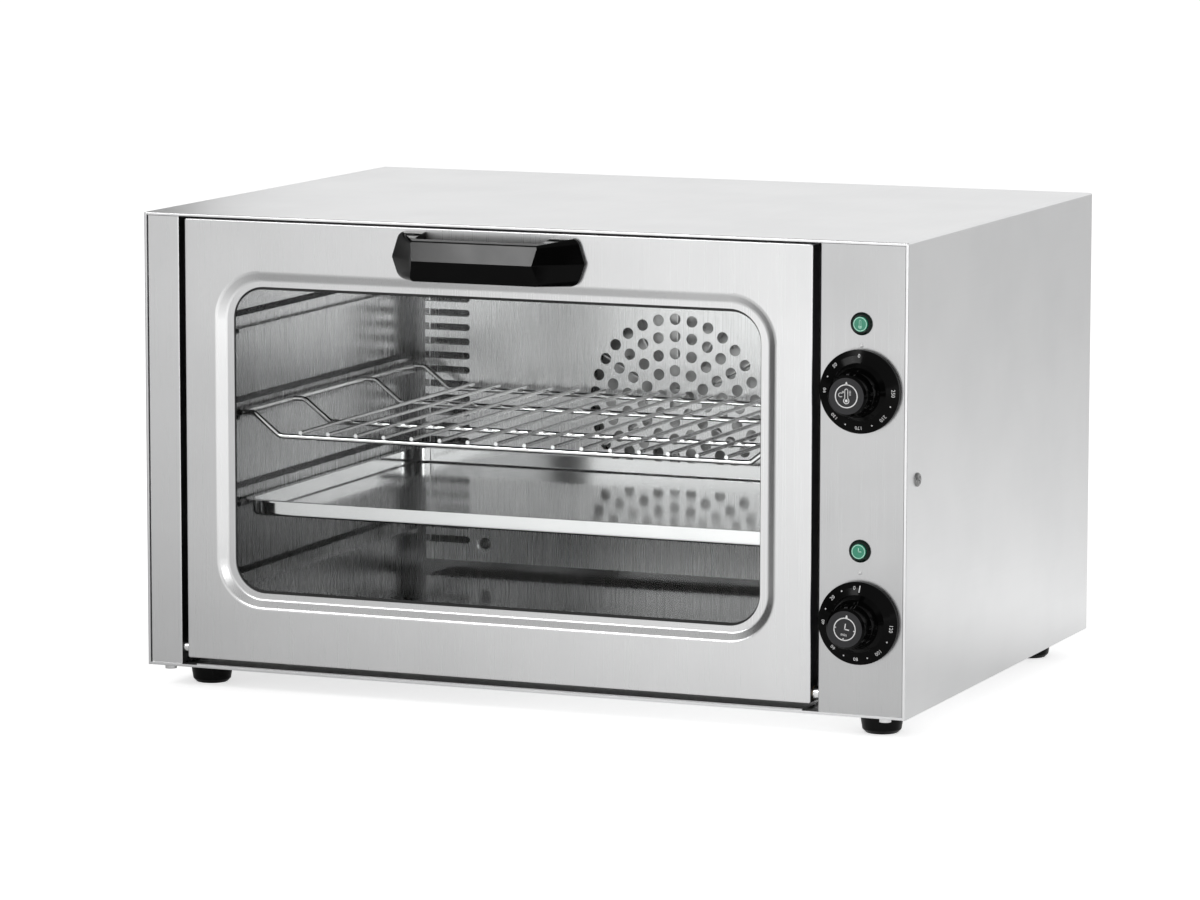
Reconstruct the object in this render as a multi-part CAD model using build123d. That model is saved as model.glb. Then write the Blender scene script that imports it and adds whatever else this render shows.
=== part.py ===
from build123d import *

import os
from math import cos, hypot, pi, sin

# Countertop convection oven, in millimetres.
# It is built with x = 0 on the casing's middle, y = 0 on its front edge and z = 0 under its
# base sheet, x to the right, y to the rear and z up. The export moves it onto its base centre.

# Shared
SHEET = 1.0
SKIN = 0.8
FIT = 0.05
RUN = 0.05
MOVE_GAP = 0.3

# Casing
CASE_W = 592.5
CASE_D = 422.4
CASE_H = 336.0
BEND = 1.2
HEM = 2.0
HEM_DEEP = 10.0
FOLD = 0.9
REAR_FLANGE = 12.0
COVER_EDGE = 1.0
HALF = CASE_W / 2
BACK = CASE_D - SHEET
INNER = HALF - SHEET - FIT
HEM_INNER = HALF - HEM - FIT

# Base, feet and small screws
BASE_FLANGE = 14.0
FOOT_H = 17.0
FOOT_TOP_R = 16.0
FOOT_LOW_R = 14.0
FOOT_EDGE = 2.5
FOOT_IN = 31.75
FOOT_X = HALF - FOOT_IN
FOOT_FRONT_Y = 42.0
FOOT_REAR_IN = 42.4
FOOT_REAR_Y = CASE_D - FOOT_REAR_IN
FOOT_RECESS_R = 6.0
FOOT_RECESS = 8.0
FOOT_SCREW_R = 2.5
FOOT_SCREW_HEAD_R = 4.5
FOOT_SCREW_HEAD = 3.0
FOOT_SCREW_END = 9.0
LIP_SCREW_IN = 16.25
LIP_SCREW_X = HALF - LIP_SCREW_IN
LIP_SCREW_Y = 5.0
LIP_SCREW_HEAD_R = 4.25
LIP_SCREW_HEAD = 2.5
LIP_SCREW_R = 1.8
LIP_SCREW_END = 7.0
SIDE_SCREW_Y = 21.8
SIDE_SCREW_Z = CASE_H / 2
SIDE_SCREW_HEAD_R = 5.0
SIDE_SCREW_HEAD = 2.0
SIDE_SCREW_R = 2.0
SIDE_SCREW_LONG = 9.0
COVER_SCREW_HEAD_R = 3.6
COVER_SCREW_HEAD = 2.0
COVER_SCREW_R = 1.8
COVER_SCREW_LONG = 8.0
COVER_SCREW_IN = 7.0
VENT_W = 70.0
VENT_H = 5.0
VENT_PITCH = 11.0
VENT_ROWS = 7
VENT_IN = 146.25
VENT_X = HALF - VENT_IN
VENT_DOWN = 101.0
VENT_Z = CASE_H - VENT_DOWN

# Front: fascia, control panel, sill and the frame round the cavity mouth
FACE_Y = 1.2
STRIP_GAP = 0.45
STRIP_FOLD = 0.8
FASCIA_W = 27.65
FASCIA_X = FASCIA_W - HALF
PANEL_W = 65.25
PANEL_X = HALF - PANEL_W
FACE_LOW = HEM + FIT
FACE_TOP = CASE_H - HEM - STRIP_GAP
SIDE_FLANGE_BACK = 32.0
LIP_FLANGE_BACK = 14.0
SILL_Y = 1.2

# Door
DOOR_GAP_LEFT = 5.3
DOOR_GAP_RIGHT = 5.4
DOOR_LEFT = FASCIA_X + DOOR_GAP_LEFT
DOOR_RIGHT = PANEL_X - DOOR_GAP_RIGHT
DOOR_LOW = 7.3
DOOR_DOWN = 3.4
DOOR_TOP = CASE_H - DOOR_DOWN
DOOR_X = (DOOR_LEFT + DOOR_RIGHT) / 2
DOOR_HALF = (DOOR_RIGHT - DOOR_LEFT) / 2
DOOR_PAN = 14.0
DOOR_RIM = 12.0
DOOR_EDGE = 1.5
DOOR_FOLD = 1.0
SKIN_INSET = 8.0
WINDOW_OFF = 1.15
WINDOW_SIDE = 26.6
WINDOW_ABOVE = 37.7
WINDOW_BELOW = 40.2
WINDOW_X = DOOR_X - WINDOW_OFF
WINDOW_Z = (DOOR_LOW + WINDOW_BELOW + DOOR_TOP - WINDOW_ABOVE) / 2
WINDOW_W = 2 * (DOOR_HALF - WINDOW_SIDE)
WINDOW_H = DOOR_TOP - WINDOW_ABOVE - DOOR_LOW - WINDOW_BELOW
WINDOW_R = 35.0
SLOPE = 6.0
SLOPE_DEEP = 4.5
SLOPE_OUTER_SOFT = 4.0
SLOPE_INNER_SOFT = 3.0
LAND_SIDE = 12.1
LAND_END = 10.7
OPENING_W = WINDOW_W - 2 * LAND_SIDE
OPENING_H = WINDOW_H - 2 * LAND_END
OPENING_R = 24.0
SEAL = 0.5
SEAL_SHOWN = 0.7
GLASS = 4.0
GLASS_GAP = 9.5
PANE_SIDE = 5.65
PANE_END = 4.3
PANE_W = WINDOW_W + 2 * PANE_SIDE
PANE_H = WINDOW_H + 2 * PANE_END
PANE_R = 30.0
SPACER = 5.0
SKIN_HOLD_SIDE = 7.0
SKIN_HOLD_END = 8.0
SKIN_OPENING_W = PANE_W - 2 * SKIN_HOLD_SIDE
SKIN_OPENING_H = PANE_H - 2 * SKIN_HOLD_END
SKIN_OPENING_R = 24.0
GLASS_Y = SLOPE_DEEP + SHEET + SEAL
SKIN_BACK = GLASS_Y + 2 * GLASS + GLASS_GAP + SHEET
GASKET_W = 6.0
GASKET_OUT = 2.0
GASKET = 3.5
FRAME_Y = SKIN_BACK + MOVE_GAP + GASKET
SILL_SHORT = 6.45
SILL_HALF = DOOR_HALF - SILL_SHORT

# Hinge along the door's lower edge
HINGE_Y = 8.0
HINGE_UP = 6.7
HINGE_Z = DOOR_LOW + HINGE_UP
PIN_R = 3.0
PIN_HEAD_R = 4.8
PIN_INTO_DOOR = 12.0
PIN_TAIL = 4.0
BUSH_R = 4.9
BUSH_LONG = 14.0
COLLAR_GAP = 0.5
BRACKET = 2.0
BRACKET_FRONT = 3.0
BRACKET_BACK = FRAME_Y - MOVE_GAP - SHEET
BRACKET_TOP = 60.0

# Handle
HANDLE_OFF = 1.65
HANDLE_X = DOOR_X - HANDLE_OFF
HANDLE_DOWN = 2.5
HANDLE_H = 34.8
HANDLE_TIP_DOWN = 18.6
HANDLE_TIP = 75.1
HANDLE_TOP = DOOR_TOP - HANDLE_DOWN
HANDLE_TIP_Z = HANDLE_TOP - HANDLE_TIP_DOWN
HANDLE_TOP_HALF = 69.1
HANDLE_LOW = HANDLE_TOP - HANDLE_H
HANDLE_LOW_HALF = 69.4
HANDLE_TOP_R = 7.0
HANDLE_LOW_R = 8.7
HANDLE_TIP_R = 3.0
HANDLE_OUT = 33.0
HANDLE_BAR_HALF = 46.5
HANDLE_BAR_SLANT = 1.5
HANDLE_BAR_R = 3.0
HANDLE_SHOULDER = 3.5
HANDLE_SHOULDER_HALF = 49.5
HANDLE_EDGE_R = 1.5
HANDLE_BAR_DOWN = 4.1
HANDLE_RIDGE_DOWN = 18.1
HANDLE_CHIN_UP = 1.7
HANDLE_BAR_TOP = HANDLE_TOP - HANDLE_BAR_DOWN
HANDLE_BAR_TOP_Y = -28.0
HANDLE_RIDGE_Z = HANDLE_TOP - HANDLE_RIDGE_DOWN
HANDLE_CHIN_Y = -26.0
HANDLE_CHIN_Z = HANDLE_LOW + HANDLE_CHIN_UP
HANDLE_BASE = 3.0
POCKET_HALF = 49.5
POCKET_UP = 5.7
POCKET_FLOOR = HANDLE_LOW + POCKET_UP
POCKET_R = 4.0
POCKET_DEEP = 22.0
HANDLE_SCREW_X = 61.5
HANDLE_SCREW_R = 2.0
HANDLE_SCREW_HEAD_R = 3.8
HANDLE_SCREW_HEAD = 2.4
HANDLE_SCREW_LONG = 9.0

# Cavity
CAVITY_SIDE = 18.8
CAVITY_HALF = DOOR_HALF - CAVITY_SIDE
CAVITY_LOW = 25.0
CAVITY_DOWN = 31.0
CAVITY_TOP = CASE_H - CAVITY_DOWN
CAVITY_REAR = 40.4
CAVITY_BACK = BACK - CAVITY_REAR
RIB_DOWN = 56.2
RIB_TOP_Z = CAVITY_TOP - RIB_DOWN
RIB_UP = 31.8
RIB_COUNT = 4
RIB_PITCH = (RIB_TOP_Z - CAVITY_LOW - RIB_UP) / (RIB_COUNT - 1)
RIB_OUT = 10.0
RIB_NOSE = 3.0
RIB_H = 4.5
RIB_START = 2.5
RIB_END = 31.0
GUIDE_UP = 12.0
GUIDE_OUT = 5.0
GUIDE_SLOPE = 3.5
RIB_FRONT = FRAME_Y + RIB_START
RIB_BACK = CAVITY_BACK - RIB_END

# Fan baffle
BAFFLE_GAP = 25.0
BAFFLE_SIDE = 13.65
BAFFLE_END = 7.0
BAFFLE_Y = CAVITY_BACK - BAFFLE_GAP
BAFFLE_HALF = CAVITY_HALF - BAFFLE_SIDE
BAFFLE_LOW = CAVITY_LOW + BAFFLE_END
BAFFLE_TOP = CAVITY_TOP - BAFFLE_END
FAN_Z = (CAVITY_LOW + CAVITY_TOP) / 2
HOLE_R = 4.5
HOLE_PITCH = 13.4
HOLE_RINGS = 5
SLOT_H = 5.6
SLOT_COUNT = 21
SLOT_UP = 16.5
SLOT_DOWN = 24.3
SLOT_LOW_Z = BAFFLE_LOW + SLOT_UP
SLOT_PITCH = (BAFFLE_TOP - SLOT_DOWN - SLOT_LOW_Z) / (SLOT_COUNT - 1)
SLOT_LONG = 38.3
SLOT_INNER = BAFFLE_HALF - SLOT_LONG
SLOT_WRAP = 8.0
DIMPLE_R = 8.0
DIMPLE_DEEP = 2.0
DIMPLE_SIDE = 50.8
DIMPLE_END = 14.5
DIMPLE_X = BAFFLE_HALF - DIMPLE_SIDE
DIMPLE_LOW_Z = BAFFLE_LOW + DIMPLE_END
DIMPLE_TOP_Z = BAFFLE_TOP - DIMPLE_END
BAFFLE_SCREW_R = 2.5
BAFFLE_SCREW_HEAD_R = 4.6
BAFFLE_SCREW_HEAD = 2.4
BAFFLE_SCREW_OUT = 7.0
BAFFLE_SCREW_END = CAVITY_BACK + BAFFLE_SCREW_OUT

# Fan, motor and heater
WHEEL_R = 75.0
WHEEL_GAP = 5.0
WHEEL_FRONT = BAFFLE_Y + WHEEL_GAP
WHEEL_BACK = CAVITY_BACK - WHEEL_GAP
WHEEL_PLATE = 1.2
BLADES = 12
BLADE_INNER = 34.0
BLADE = 1.2
HUB_R = 12.0
SHAFT_R = 4.0
HUB_FACE = 2.0
SHAFT_FRONT = WHEEL_FRONT + HUB_FACE
SHAFT_HOLE_R = 7.0
BRACKET_HALF_X = 62.0
BRACKET_HALF_Z = 50.0
BRACKET_PLATE = 1.5
MOTOR_R = 42.0
MOTOR_LONG = 28.0
MOTOR_WALL = 4.0
ROTOR_R = 22.0
ROTOR_GAP = 0.8
CAP = 3.0
SHAFT_TAIL = 0.7
MOTOR_Y = CAVITY_BACK + SKIN + BRACKET_PLATE
SHAFT_END = MOTOR_Y + MOTOR_LONG + CAP + SHAFT_TAIL
HEATER_R = 87.0
HEATER_TUBE_R = 3.25
HEATER_Y = (BAFFLE_Y + CAVITY_BACK) / 2
HEATER_HALF_GAP = 0.16
HEATER_BEND = 8.0
HEATER_OUT = 15.0
HEATER_END = CAVITY_BACK + HEATER_OUT

# Insulation
WOOL_SIDE_LEFT = 24.0
WOOL_SIDE_RIGHT = 21.0
WOOL_TOP = 24.0
WOOL_REAR = 28.0
WOOL_START = 5.7
WOOL_FRONT_Y = FRAME_Y + WOOL_START
WOOL_EDGE = 8.0
WOOL_MOTOR_R = 82.0
WOOL_LEG_R = 6.0

# Controls
CONTROL_IN = 34.65
CONTROL_X = HALF - CONTROL_IN
KNOB_DOWN = 105.0
KNOB_UP = 67.5
LAMP_UP = (47.3, 50.7)
PIP_UP = (32.0, 35.4)
KNOB_Z = (CASE_H - KNOB_DOWN, KNOB_UP)
LAMP_Z = tuple(z + up for z, up in zip(KNOB_Z, LAMP_UP))
PIP_Z = tuple(z + up for z, up in zip(KNOB_Z, PIP_UP))
KNOB_BACK = 0.4
KNOB_SKIRT_R = 29.5
KNOB_SKIRT = 3.0
KNOB_FLARE = ((25.5, -3.7), (20.5, -5.4), (17.6, -9.0), (15.6, -17.0), (14.4, -27.6))
KNOB_FACE_Y = -29.4
KNOB_FACE_R = 12.8
KNOB_RIDGE = 2.2
KNOB_RIDGE_OUT = 0.9
KNOB_RIDGE_FROM = -27.0
KNOB_BORE_END = -18.0
CONTROL_SHAFT_R = 3.0
CONTROL_SHAFT_END = 24.0
NECK_R = 5.0
CONTROL_BODY_HALF = 21.0
THERMOSTAT_DEEP = 30.0
TIMER_DEEP = 38.0
LAMP_BEZEL_R = 8.1
LAMP_NECK_R = 6.6
LAMP_FRONT = 1.8
LAMP_HOLE_R = 5.8
LAMP_BARREL = 20.0
LENS_R = 5.3
LENS_OUT = 3.4
LENS_SEAT = 2.0
PIP_R = 1.5
PIP_OUT = 1.1
PIP_STEM_R = 0.9
PIP_STEM = 3.0

# Supply side at the rear
GLAND_IN = 34.25
GLAND_X = HALF - GLAND_IN
GLAND_Z = 46.0
GLAND_R = 11.0
GLAND_OUT = 14.0
GLAND_STEP = 6.0
GLAND_TIP_R = 7.5
GLAND_STEM_R = 8.0
GLAND_STEM = 10.0
GLAND_BORE_R = 4.2
GLAND_NUT_R = 12.0
GLAND_NUT = 5.0
TERMINAL_W = 30.0
TERMINAL_H = 22.0
TERMINAL_D = 34.0
TERMINAL_IN = 62.4
TERMINAL_Y = CASE_D - TERMINAL_D - TERMINAL_IN
TERMINAL_POLES = 3
TERMINAL_HOLE_R = 2.5

# Wire rack
RACK_START = 4.7
RACK_STOP = 8.0
RACK_FRONT = FRAME_Y + RACK_START
RACK_BACK = BAFFLE_Y - RACK_STOP
RACK_DEEP = RACK_BACK - RACK_FRONT
RACK_CROSS_R = 2.0
RACK_CROSS_PARTS = (0.007, 0.2825, 0.6857, 0.9778)
RACK_CROSS_Y = tuple(RACK_FRONT + part * RACK_DEEP for part in RACK_CROSS_PARTS)
RACK_SIDE_GAP = 9.5
RACK_SIDE_HALF = CAVITY_HALF - RACK_SIDE_GAP
RACK_TIP = 3.0
RACK_LEVEL = 10.15
RACK_RISE = 21.0
RACK_BEND = 7.0
RACK_SLOPE_HALF = RACK_SIDE_HALF - RACK_LEVEL
RACK_FLAT_HALF = RACK_SLOPE_HALF - RACK_RISE
RACK_SIDE_R = 2.2
RACK_DROP = 16.3
RACK_REST_Z = RIB_TOP_Z - RIB_PITCH + MOVE_GAP + RACK_SIDE_R
RACK_CROSS_Z = RACK_REST_Z - RACK_DROP
RACK_WIRE_R = 1.5
RACK_WIRES = 16
RACK_END = 17.5
RACK_PITCH = 2 * (RACK_FLAT_HALF - RACK_END) / (RACK_WIRES - 1)
WELD = 0.25

# Baking tray
TRAY_SIDE = 6.65
TRAY_HALF = CAVITY_HALF - TRAY_SIDE
TRAY_RIM = 4.6
TRAY_H = 11.8
TRAY_WALL = 1.0
TRAY_R = 20.0
TRAY_EDGE = 2.5


def block(x0, x1, y0, y1, z0, z1):
    """A box between two corners."""
    middle = Pos((x0 + x1) / 2, (y0 + y1) / 2, (z0 + z1) / 2)
    return middle * Box(abs(x1 - x0), abs(y1 - y0), abs(z1 - z0))


def bar_x(y, z, radius, x0, x1):
    """A round bar along x."""
    return Pos((x0 + x1) / 2, y, z) * Rot(0, 90, 0) * Cylinder(radius, abs(x1 - x0))


def bar_y(x, z, radius, y0, y1):
    """A round bar along y."""
    return Pos(x, (y0 + y1) / 2, z) * Rot(90, 0, 0) * Cylinder(radius, abs(y1 - y0))


def bar_z(x, y, radius, z0, z1):
    """A round bar along z."""
    return Pos(x, y, (z0 + z1) / 2) * Cylinder(radius, abs(z1 - z0))


def prism_y(points, y0, y1):
    """A polygon of (x, z) points, drawn out from y0 to y1."""
    face = make_face(Polyline([(x, y0, z) for x, z in points], close=True))
    return extrude(face, amount=y1 - y0, dir=(0, 1, 0))


def prism_x(points, x0, x1):
    """A polygon of (y, z) points, drawn out from x0 to x1."""
    face = make_face(Polyline([(x0, y, z) for y, z in points], close=True))
    return extrude(face, amount=x1 - x0, dir=(1, 0, 0))


def prism_z(points, z0, z1):
    """A polygon of (x, y) points, drawn out from z0 to z1."""
    face = make_face(Polyline([(x, y, z0) for x, y in points], close=True))
    return extrude(face, amount=z1 - z0, dir=(0, 0, 1))


def turned_y(x, z, points):
    """A turned piece about a line along y, from (radius, y) points."""
    face = make_face(Polyline([(radius, y, 0) for radius, y in points], close=True))
    return Pos(x, 0, z) * revolve(face, Axis.Y)


def turned_z(x, y, points):
    """A turned piece about a line along z, from (radius, z) points."""
    face = make_face(Polyline([(radius, 0, z) for radius, z in points], close=True))
    return Pos(x, y, 0) * revolve(face, Axis.Z)


def outline(x, z, width, height, radius, y):
    """A rounded rectangle that faces forward."""
    return Pos(x, y, z) * Rot(90, 0, 0) * RectangleRounded(width, height, radius)


def slab(x, z, width, height, radius, y0, y1):
    """A rounded rectangular plate from y0 to y1."""
    face = outline(x, z, width, height, radius, y0)
    return extrude(face, amount=y1 - y0, dir=(0, 1, 0))


def ring(x, z, width, height, radius, border, y0, y1):
    """A flat frame, its border measured inward from the outline."""
    outer = slab(x, z, width, height, radius, y0, y1)
    inner = slab(x, z, width - 2 * border, height - 2 * border, radius - border, y0, y1)
    return outer - inner


def casing_wrap():
    """Both sides and the top in one bent sheet, its front edge folded double."""
    outer = block(-HALF, HALF, 0, BACK, 0, CASE_H)
    outer = fillet(outer.edges().filter_by(Axis.Y).group_by(Axis.Z)[-1], BEND)
    outer = fillet(outer.faces().sort_by(Axis.Y)[0].edges().sort_by(Axis.Z)[1:], FOLD)
    low = -SHEET
    room = block(-HALF + SHEET, HALF - SHEET, HEM_DEEP, BACK - SHEET, low, CASE_H - SHEET)
    mouth = block(-HALF + HEM, HALF - HEM, low, HEM_DEEP, low, CASE_H - HEM)
    rear_half = HALF - REAR_FLANGE
    rear = block(-rear_half, rear_half, BACK - SHEET, BACK, low, CASE_H - REAR_FLANGE)
    holes = [
        bar_x(SIDE_SCREW_Y, SIDE_SCREW_Z, SIDE_SCREW_R + FIT, -HALF, HALF),
    ]
    holes += cover_screw_bars(COVER_SCREW_R + FIT, BACK - SHEET, BACK)
    return outer - room - mouth - rear - holes


def cover_screw_spots():
    """Where the rear cover's screws go, as (x, z)."""
    side = HALF - COVER_SCREW_IN
    top = CASE_H - COVER_SCREW_IN
    low = BASE_FLANGE / 2 + SHEET
    inner_low = HALF / 2
    middle = CASE_H / 2
    spots = [(-side, top), (0, top), (side, top), (-side, middle), (side, middle)]
    return spots + [(-side, low + BASE_FLANGE), (-inner_low, low), (inner_low, low)]


def cover_screw_bars(radius, y0, y1):
    """A round bar at each rear cover screw."""
    return [bar_y(x, z, radius, y0, y1) for x, z in cover_screw_spots()]


def foot_spots():
    """Where the feet stand, as (name, x, y)."""
    return [
        ("front_left", -FOOT_X, FOOT_FRONT_Y),
        ("front_right", FOOT_X, FOOT_FRONT_Y),
        ("rear_left", -FOOT_X, FOOT_REAR_Y),
        ("rear_right", FOOT_X, FOOT_REAR_Y),
    ]


def base_pan():
    """The bottom sheet with a doubled front edge, side flanges and a rear upstand."""
    rear_half = HALF - REAR_FLANGE - FIT
    stop = BACK - SHEET - FIT
    pan = block(-INNER, INNER, HEM_DEEP + FIT, stop, 0, SHEET)
    pan += block(-HEM_INNER, HEM_INNER, HEM_DEEP, HEM_DEEP + SHEET, 0, SHEET)
    lip = block(-HEM_INNER, HEM_INNER, 0, HEM_DEEP, 0, HEM)
    pan += fillet(lip.edges().filter_by(Axis.X).group_by(Axis.Y)[0].sort_by(Axis.Z)[0], FOLD)
    pan += block(-rear_half, rear_half, stop - SHEET, BACK, 0, SHEET)
    pan += block(-rear_half, rear_half, BACK - SHEET, BACK, 0, BASE_FLANGE)
    for side in (-1, 1):
        pan += block(side * (INNER - SHEET), side * INNER, HEM_DEEP + FIT, stop, 0, BASE_FLANGE)
    pan -= [bar_z(x, y, FOOT_SCREW_R + FIT, 0, SHEET) for _, x, y in foot_spots()]
    pan -= [bar_z(side * LIP_SCREW_X, LIP_SCREW_Y, LIP_SCREW_R + FIT, 0, HEM) for side in (-1, 1)]
    return pan - cover_screw_bars(COVER_SCREW_R + FIT, BACK - SHEET, BACK)


def rear_cover():
    """The flat rear sheet with two banks of vent slots and the cable hole."""
    edge = HALF - COVER_EDGE
    cover = block(-edge, edge, BACK, CASE_D, COVER_EDGE, CASE_H - COVER_EDGE)
    cuts = cover_screw_bars(COVER_SCREW_R + FIT, BACK, CASE_D)
    cuts.append(bar_y(GLAND_X, GLAND_Z, GLAND_STEM_R + FIT, BACK, CASE_D))
    for side in (-1, 1):
        for row in range(VENT_ROWS):
            z = VENT_Z + row * VENT_PITCH
            cuts.append(slab(side * VENT_X, z, VENT_W, VENT_H, VENT_H / 2 - FIT, BACK, CASE_D))
    return cover - cuts


def rear_cover_screws():
    """The rear cover's screws, one group."""
    head = cover_screw_bars(COVER_SCREW_HEAD_R, CASE_D, CASE_D + COVER_SCREW_HEAD)
    shank = cover_screw_bars(COVER_SCREW_R, CASE_D - COVER_SCREW_LONG, CASE_D)
    return Compound(children=[a + b for a, b in zip(head, shank)])


def foot(x, y):
    """A moulded foot, wider at its top, with a recess for its screw."""
    shape = turned_z(
        x,
        y,
        [
            (0, -FOOT_H),
            (FOOT_LOW_R - FOOT_EDGE, -FOOT_H),
            (FOOT_LOW_R, -FOOT_H + FOOT_EDGE),
            (FOOT_TOP_R, -FOOT_EDGE),
            (FOOT_TOP_R, 0),
            (0, 0),
        ],
    )
    shape -= bar_z(x, y, FOOT_RECESS_R, -FOOT_H, -FOOT_H + FOOT_RECESS)
    return shape - bar_z(x, y, FOOT_SCREW_R + FIT, -FOOT_H, 0)


def foot_screws():
    """The four screws that hold the feet, heads up inside the recesses."""
    seat = -FOOT_H + FOOT_RECESS
    screws = []
    for _, x, y in foot_spots():
        head = bar_z(x, y, FOOT_SCREW_HEAD_R, seat - FOOT_SCREW_HEAD, seat)
        screws.append(head + bar_z(x, y, FOOT_SCREW_R, seat, FOOT_SCREW_END))
    return Compound(children=screws)


def lip_screws():
    """The two screws under the front lip."""
    screws = []
    for side in (-1, 1):
        x = side * LIP_SCREW_X
        head = bar_z(x, LIP_SCREW_Y, LIP_SCREW_HEAD_R, -LIP_SCREW_HEAD, 0)
        screws.append(head + bar_z(x, LIP_SCREW_Y, LIP_SCREW_R, 0, LIP_SCREW_END))
    return Compound(children=screws)


def side_screws():
    """The screw near the front of each casing side."""
    screws = []
    for side in (-1, 1):
        head = bar_x(SIDE_SCREW_Y, SIDE_SCREW_Z, SIDE_SCREW_HEAD_R,
                     side * HALF, side * (HALF + SIDE_SCREW_HEAD))
        shank = bar_x(SIDE_SCREW_Y, SIDE_SCREW_Z, SIDE_SCREW_R,
                      side * (HALF - SIDE_SCREW_LONG), side * HALF)
        screws.append(head + shank)
    return Compound(children=screws)


def front_strip(side, inner_x):
    """The bent sheet beside the door: face, inner return, outer flange and lower flange."""
    turn = -side * SHEET
    outer_x = side * (HALF - HEM - STRIP_GAP)
    back = FRAME_Y + SHEET
    strip = block(inner_x, outer_x, FACE_Y, FACE_Y + SHEET, FACE_LOW, FACE_TOP)
    strip += block(inner_x, inner_x - turn, FACE_Y, back, FACE_LOW, FACE_TOP)
    strip += block(outer_x, outer_x + turn, FACE_Y, SIDE_FLANGE_BACK, FACE_LOW, FACE_TOP)
    strip += block(inner_x, outer_x, FACE_Y, LIP_FLANGE_BACK, FACE_LOW, FACE_LOW + SHEET)
    strip = fillet(strip.faces().sort_by(Axis.Y)[0].edges().filter_by(Axis.Z), STRIP_FOLD)
    strip -= bar_z(side * LIP_SCREW_X, LIP_SCREW_Y, LIP_SCREW_R + FIT, FACE_LOW, FACE_LOW + SHEET)
    strip -= bar_x(SIDE_SCREW_Y, SIDE_SCREW_Z, SIDE_SCREW_R + FIT, outer_x, outer_x + turn)
    return strip - bar_x(HINGE_Y, HINGE_Z, PIN_R + FIT, inner_x, inner_x - turn)


def left_fascia():
    """The narrow strip left of the door."""
    return front_strip(-1, FASCIA_X)


def control_panel():
    """The wide strip right of the door, with holes for lamps, controls and pips."""
    y0 = FACE_Y
    y1 = FACE_Y + SHEET
    holes = [bar_y(CONTROL_X, z, NECK_R + FIT, y0, y1) for z in KNOB_Z]
    holes += [bar_y(CONTROL_X, z, LAMP_NECK_R + FIT, y0, y1) for z in LAMP_Z]
    holes += [bar_y(CONTROL_X, z, PIP_STEM_R + FIT, y0, y1) for z in PIP_Z]
    return front_strip(1, PANEL_X) - holes


def door_sill():
    """The strip under the door, resting on the front lip and on its own rear leg."""
    x0 = DOOR_X - SILL_HALF
    x1 = DOOR_X + SILL_HALF
    back = FRAME_Y - FIT
    leg = block(x0, x1, back - SHEET, back, SHEET, HEM)
    return block(x0, x1, SILL_Y, back, HEM, HEM + SHEET) + leg


def cavity_front_frame():
    """The plate round the mouth of the cavity."""
    plate = block(FASCIA_X + FIT, PANEL_X - FIT, FRAME_Y, FRAME_Y + SHEET,
                  SHEET, CASE_H - SHEET - FIT)
    x0 = DOOR_X - CAVITY_HALF
    x1 = DOOR_X + CAVITY_HALF
    return plate - block(x0, x1, FRAME_Y, FRAME_Y + SHEET, CAVITY_LOW, CAVITY_TOP)


def door_gasket():
    """The soft ring round the cavity mouth that the closed door nearly touches."""
    width = 2 * (CAVITY_HALF + GASKET_OUT + GASKET_W)
    height = CAVITY_TOP - CAVITY_LOW + 2 * (GASKET_OUT + GASKET_W)
    middle = (CAVITY_TOP + CAVITY_LOW) / 2
    front = SKIN_BACK + MOVE_GAP
    return ring(DOOR_X, middle, width, height, 2 * GASKET_W, GASKET_W, front, FRAME_Y)


def hinge_bracket(side, inner_x):
    """The plate behind a strip's return that carries the hinge pin."""
    plate = block(inner_x + side * SHEET, inner_x + side * (SHEET + BRACKET),
                  BRACKET_FRONT, BRACKET_BACK, FACE_LOW + SHEET, BRACKET_TOP)
    hole = bar_x(HINGE_Y, HINGE_Z, PIN_R + FIT, inner_x, inner_x + side * (SHEET + BRACKET))
    return plate - hole


def hinge_pin(side, inner_x, door_x):
    """The pin of one hinge, with its collar in the gap beside the door."""
    tail = inner_x + side * (SHEET + BRACKET + PIN_TAIL)
    pin = bar_x(HINGE_Y, HINGE_Z, PIN_R, tail, door_x - side * PIN_INTO_DOOR)
    return pin + bar_x(HINGE_Y, HINGE_Z, PIN_HEAD_R, inner_x, door_x + side * COLLAR_GAP)


def hinge_bush(side, door_x):
    """The bush in the door's edge that turns on the pin."""
    inner = door_x - side * BUSH_LONG
    bush = bar_x(HINGE_Y, HINGE_Z, BUSH_R, door_x, inner)
    return bush - bar_x(HINGE_Y, HINGE_Z, PIN_R + RUN, door_x, inner)


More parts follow.
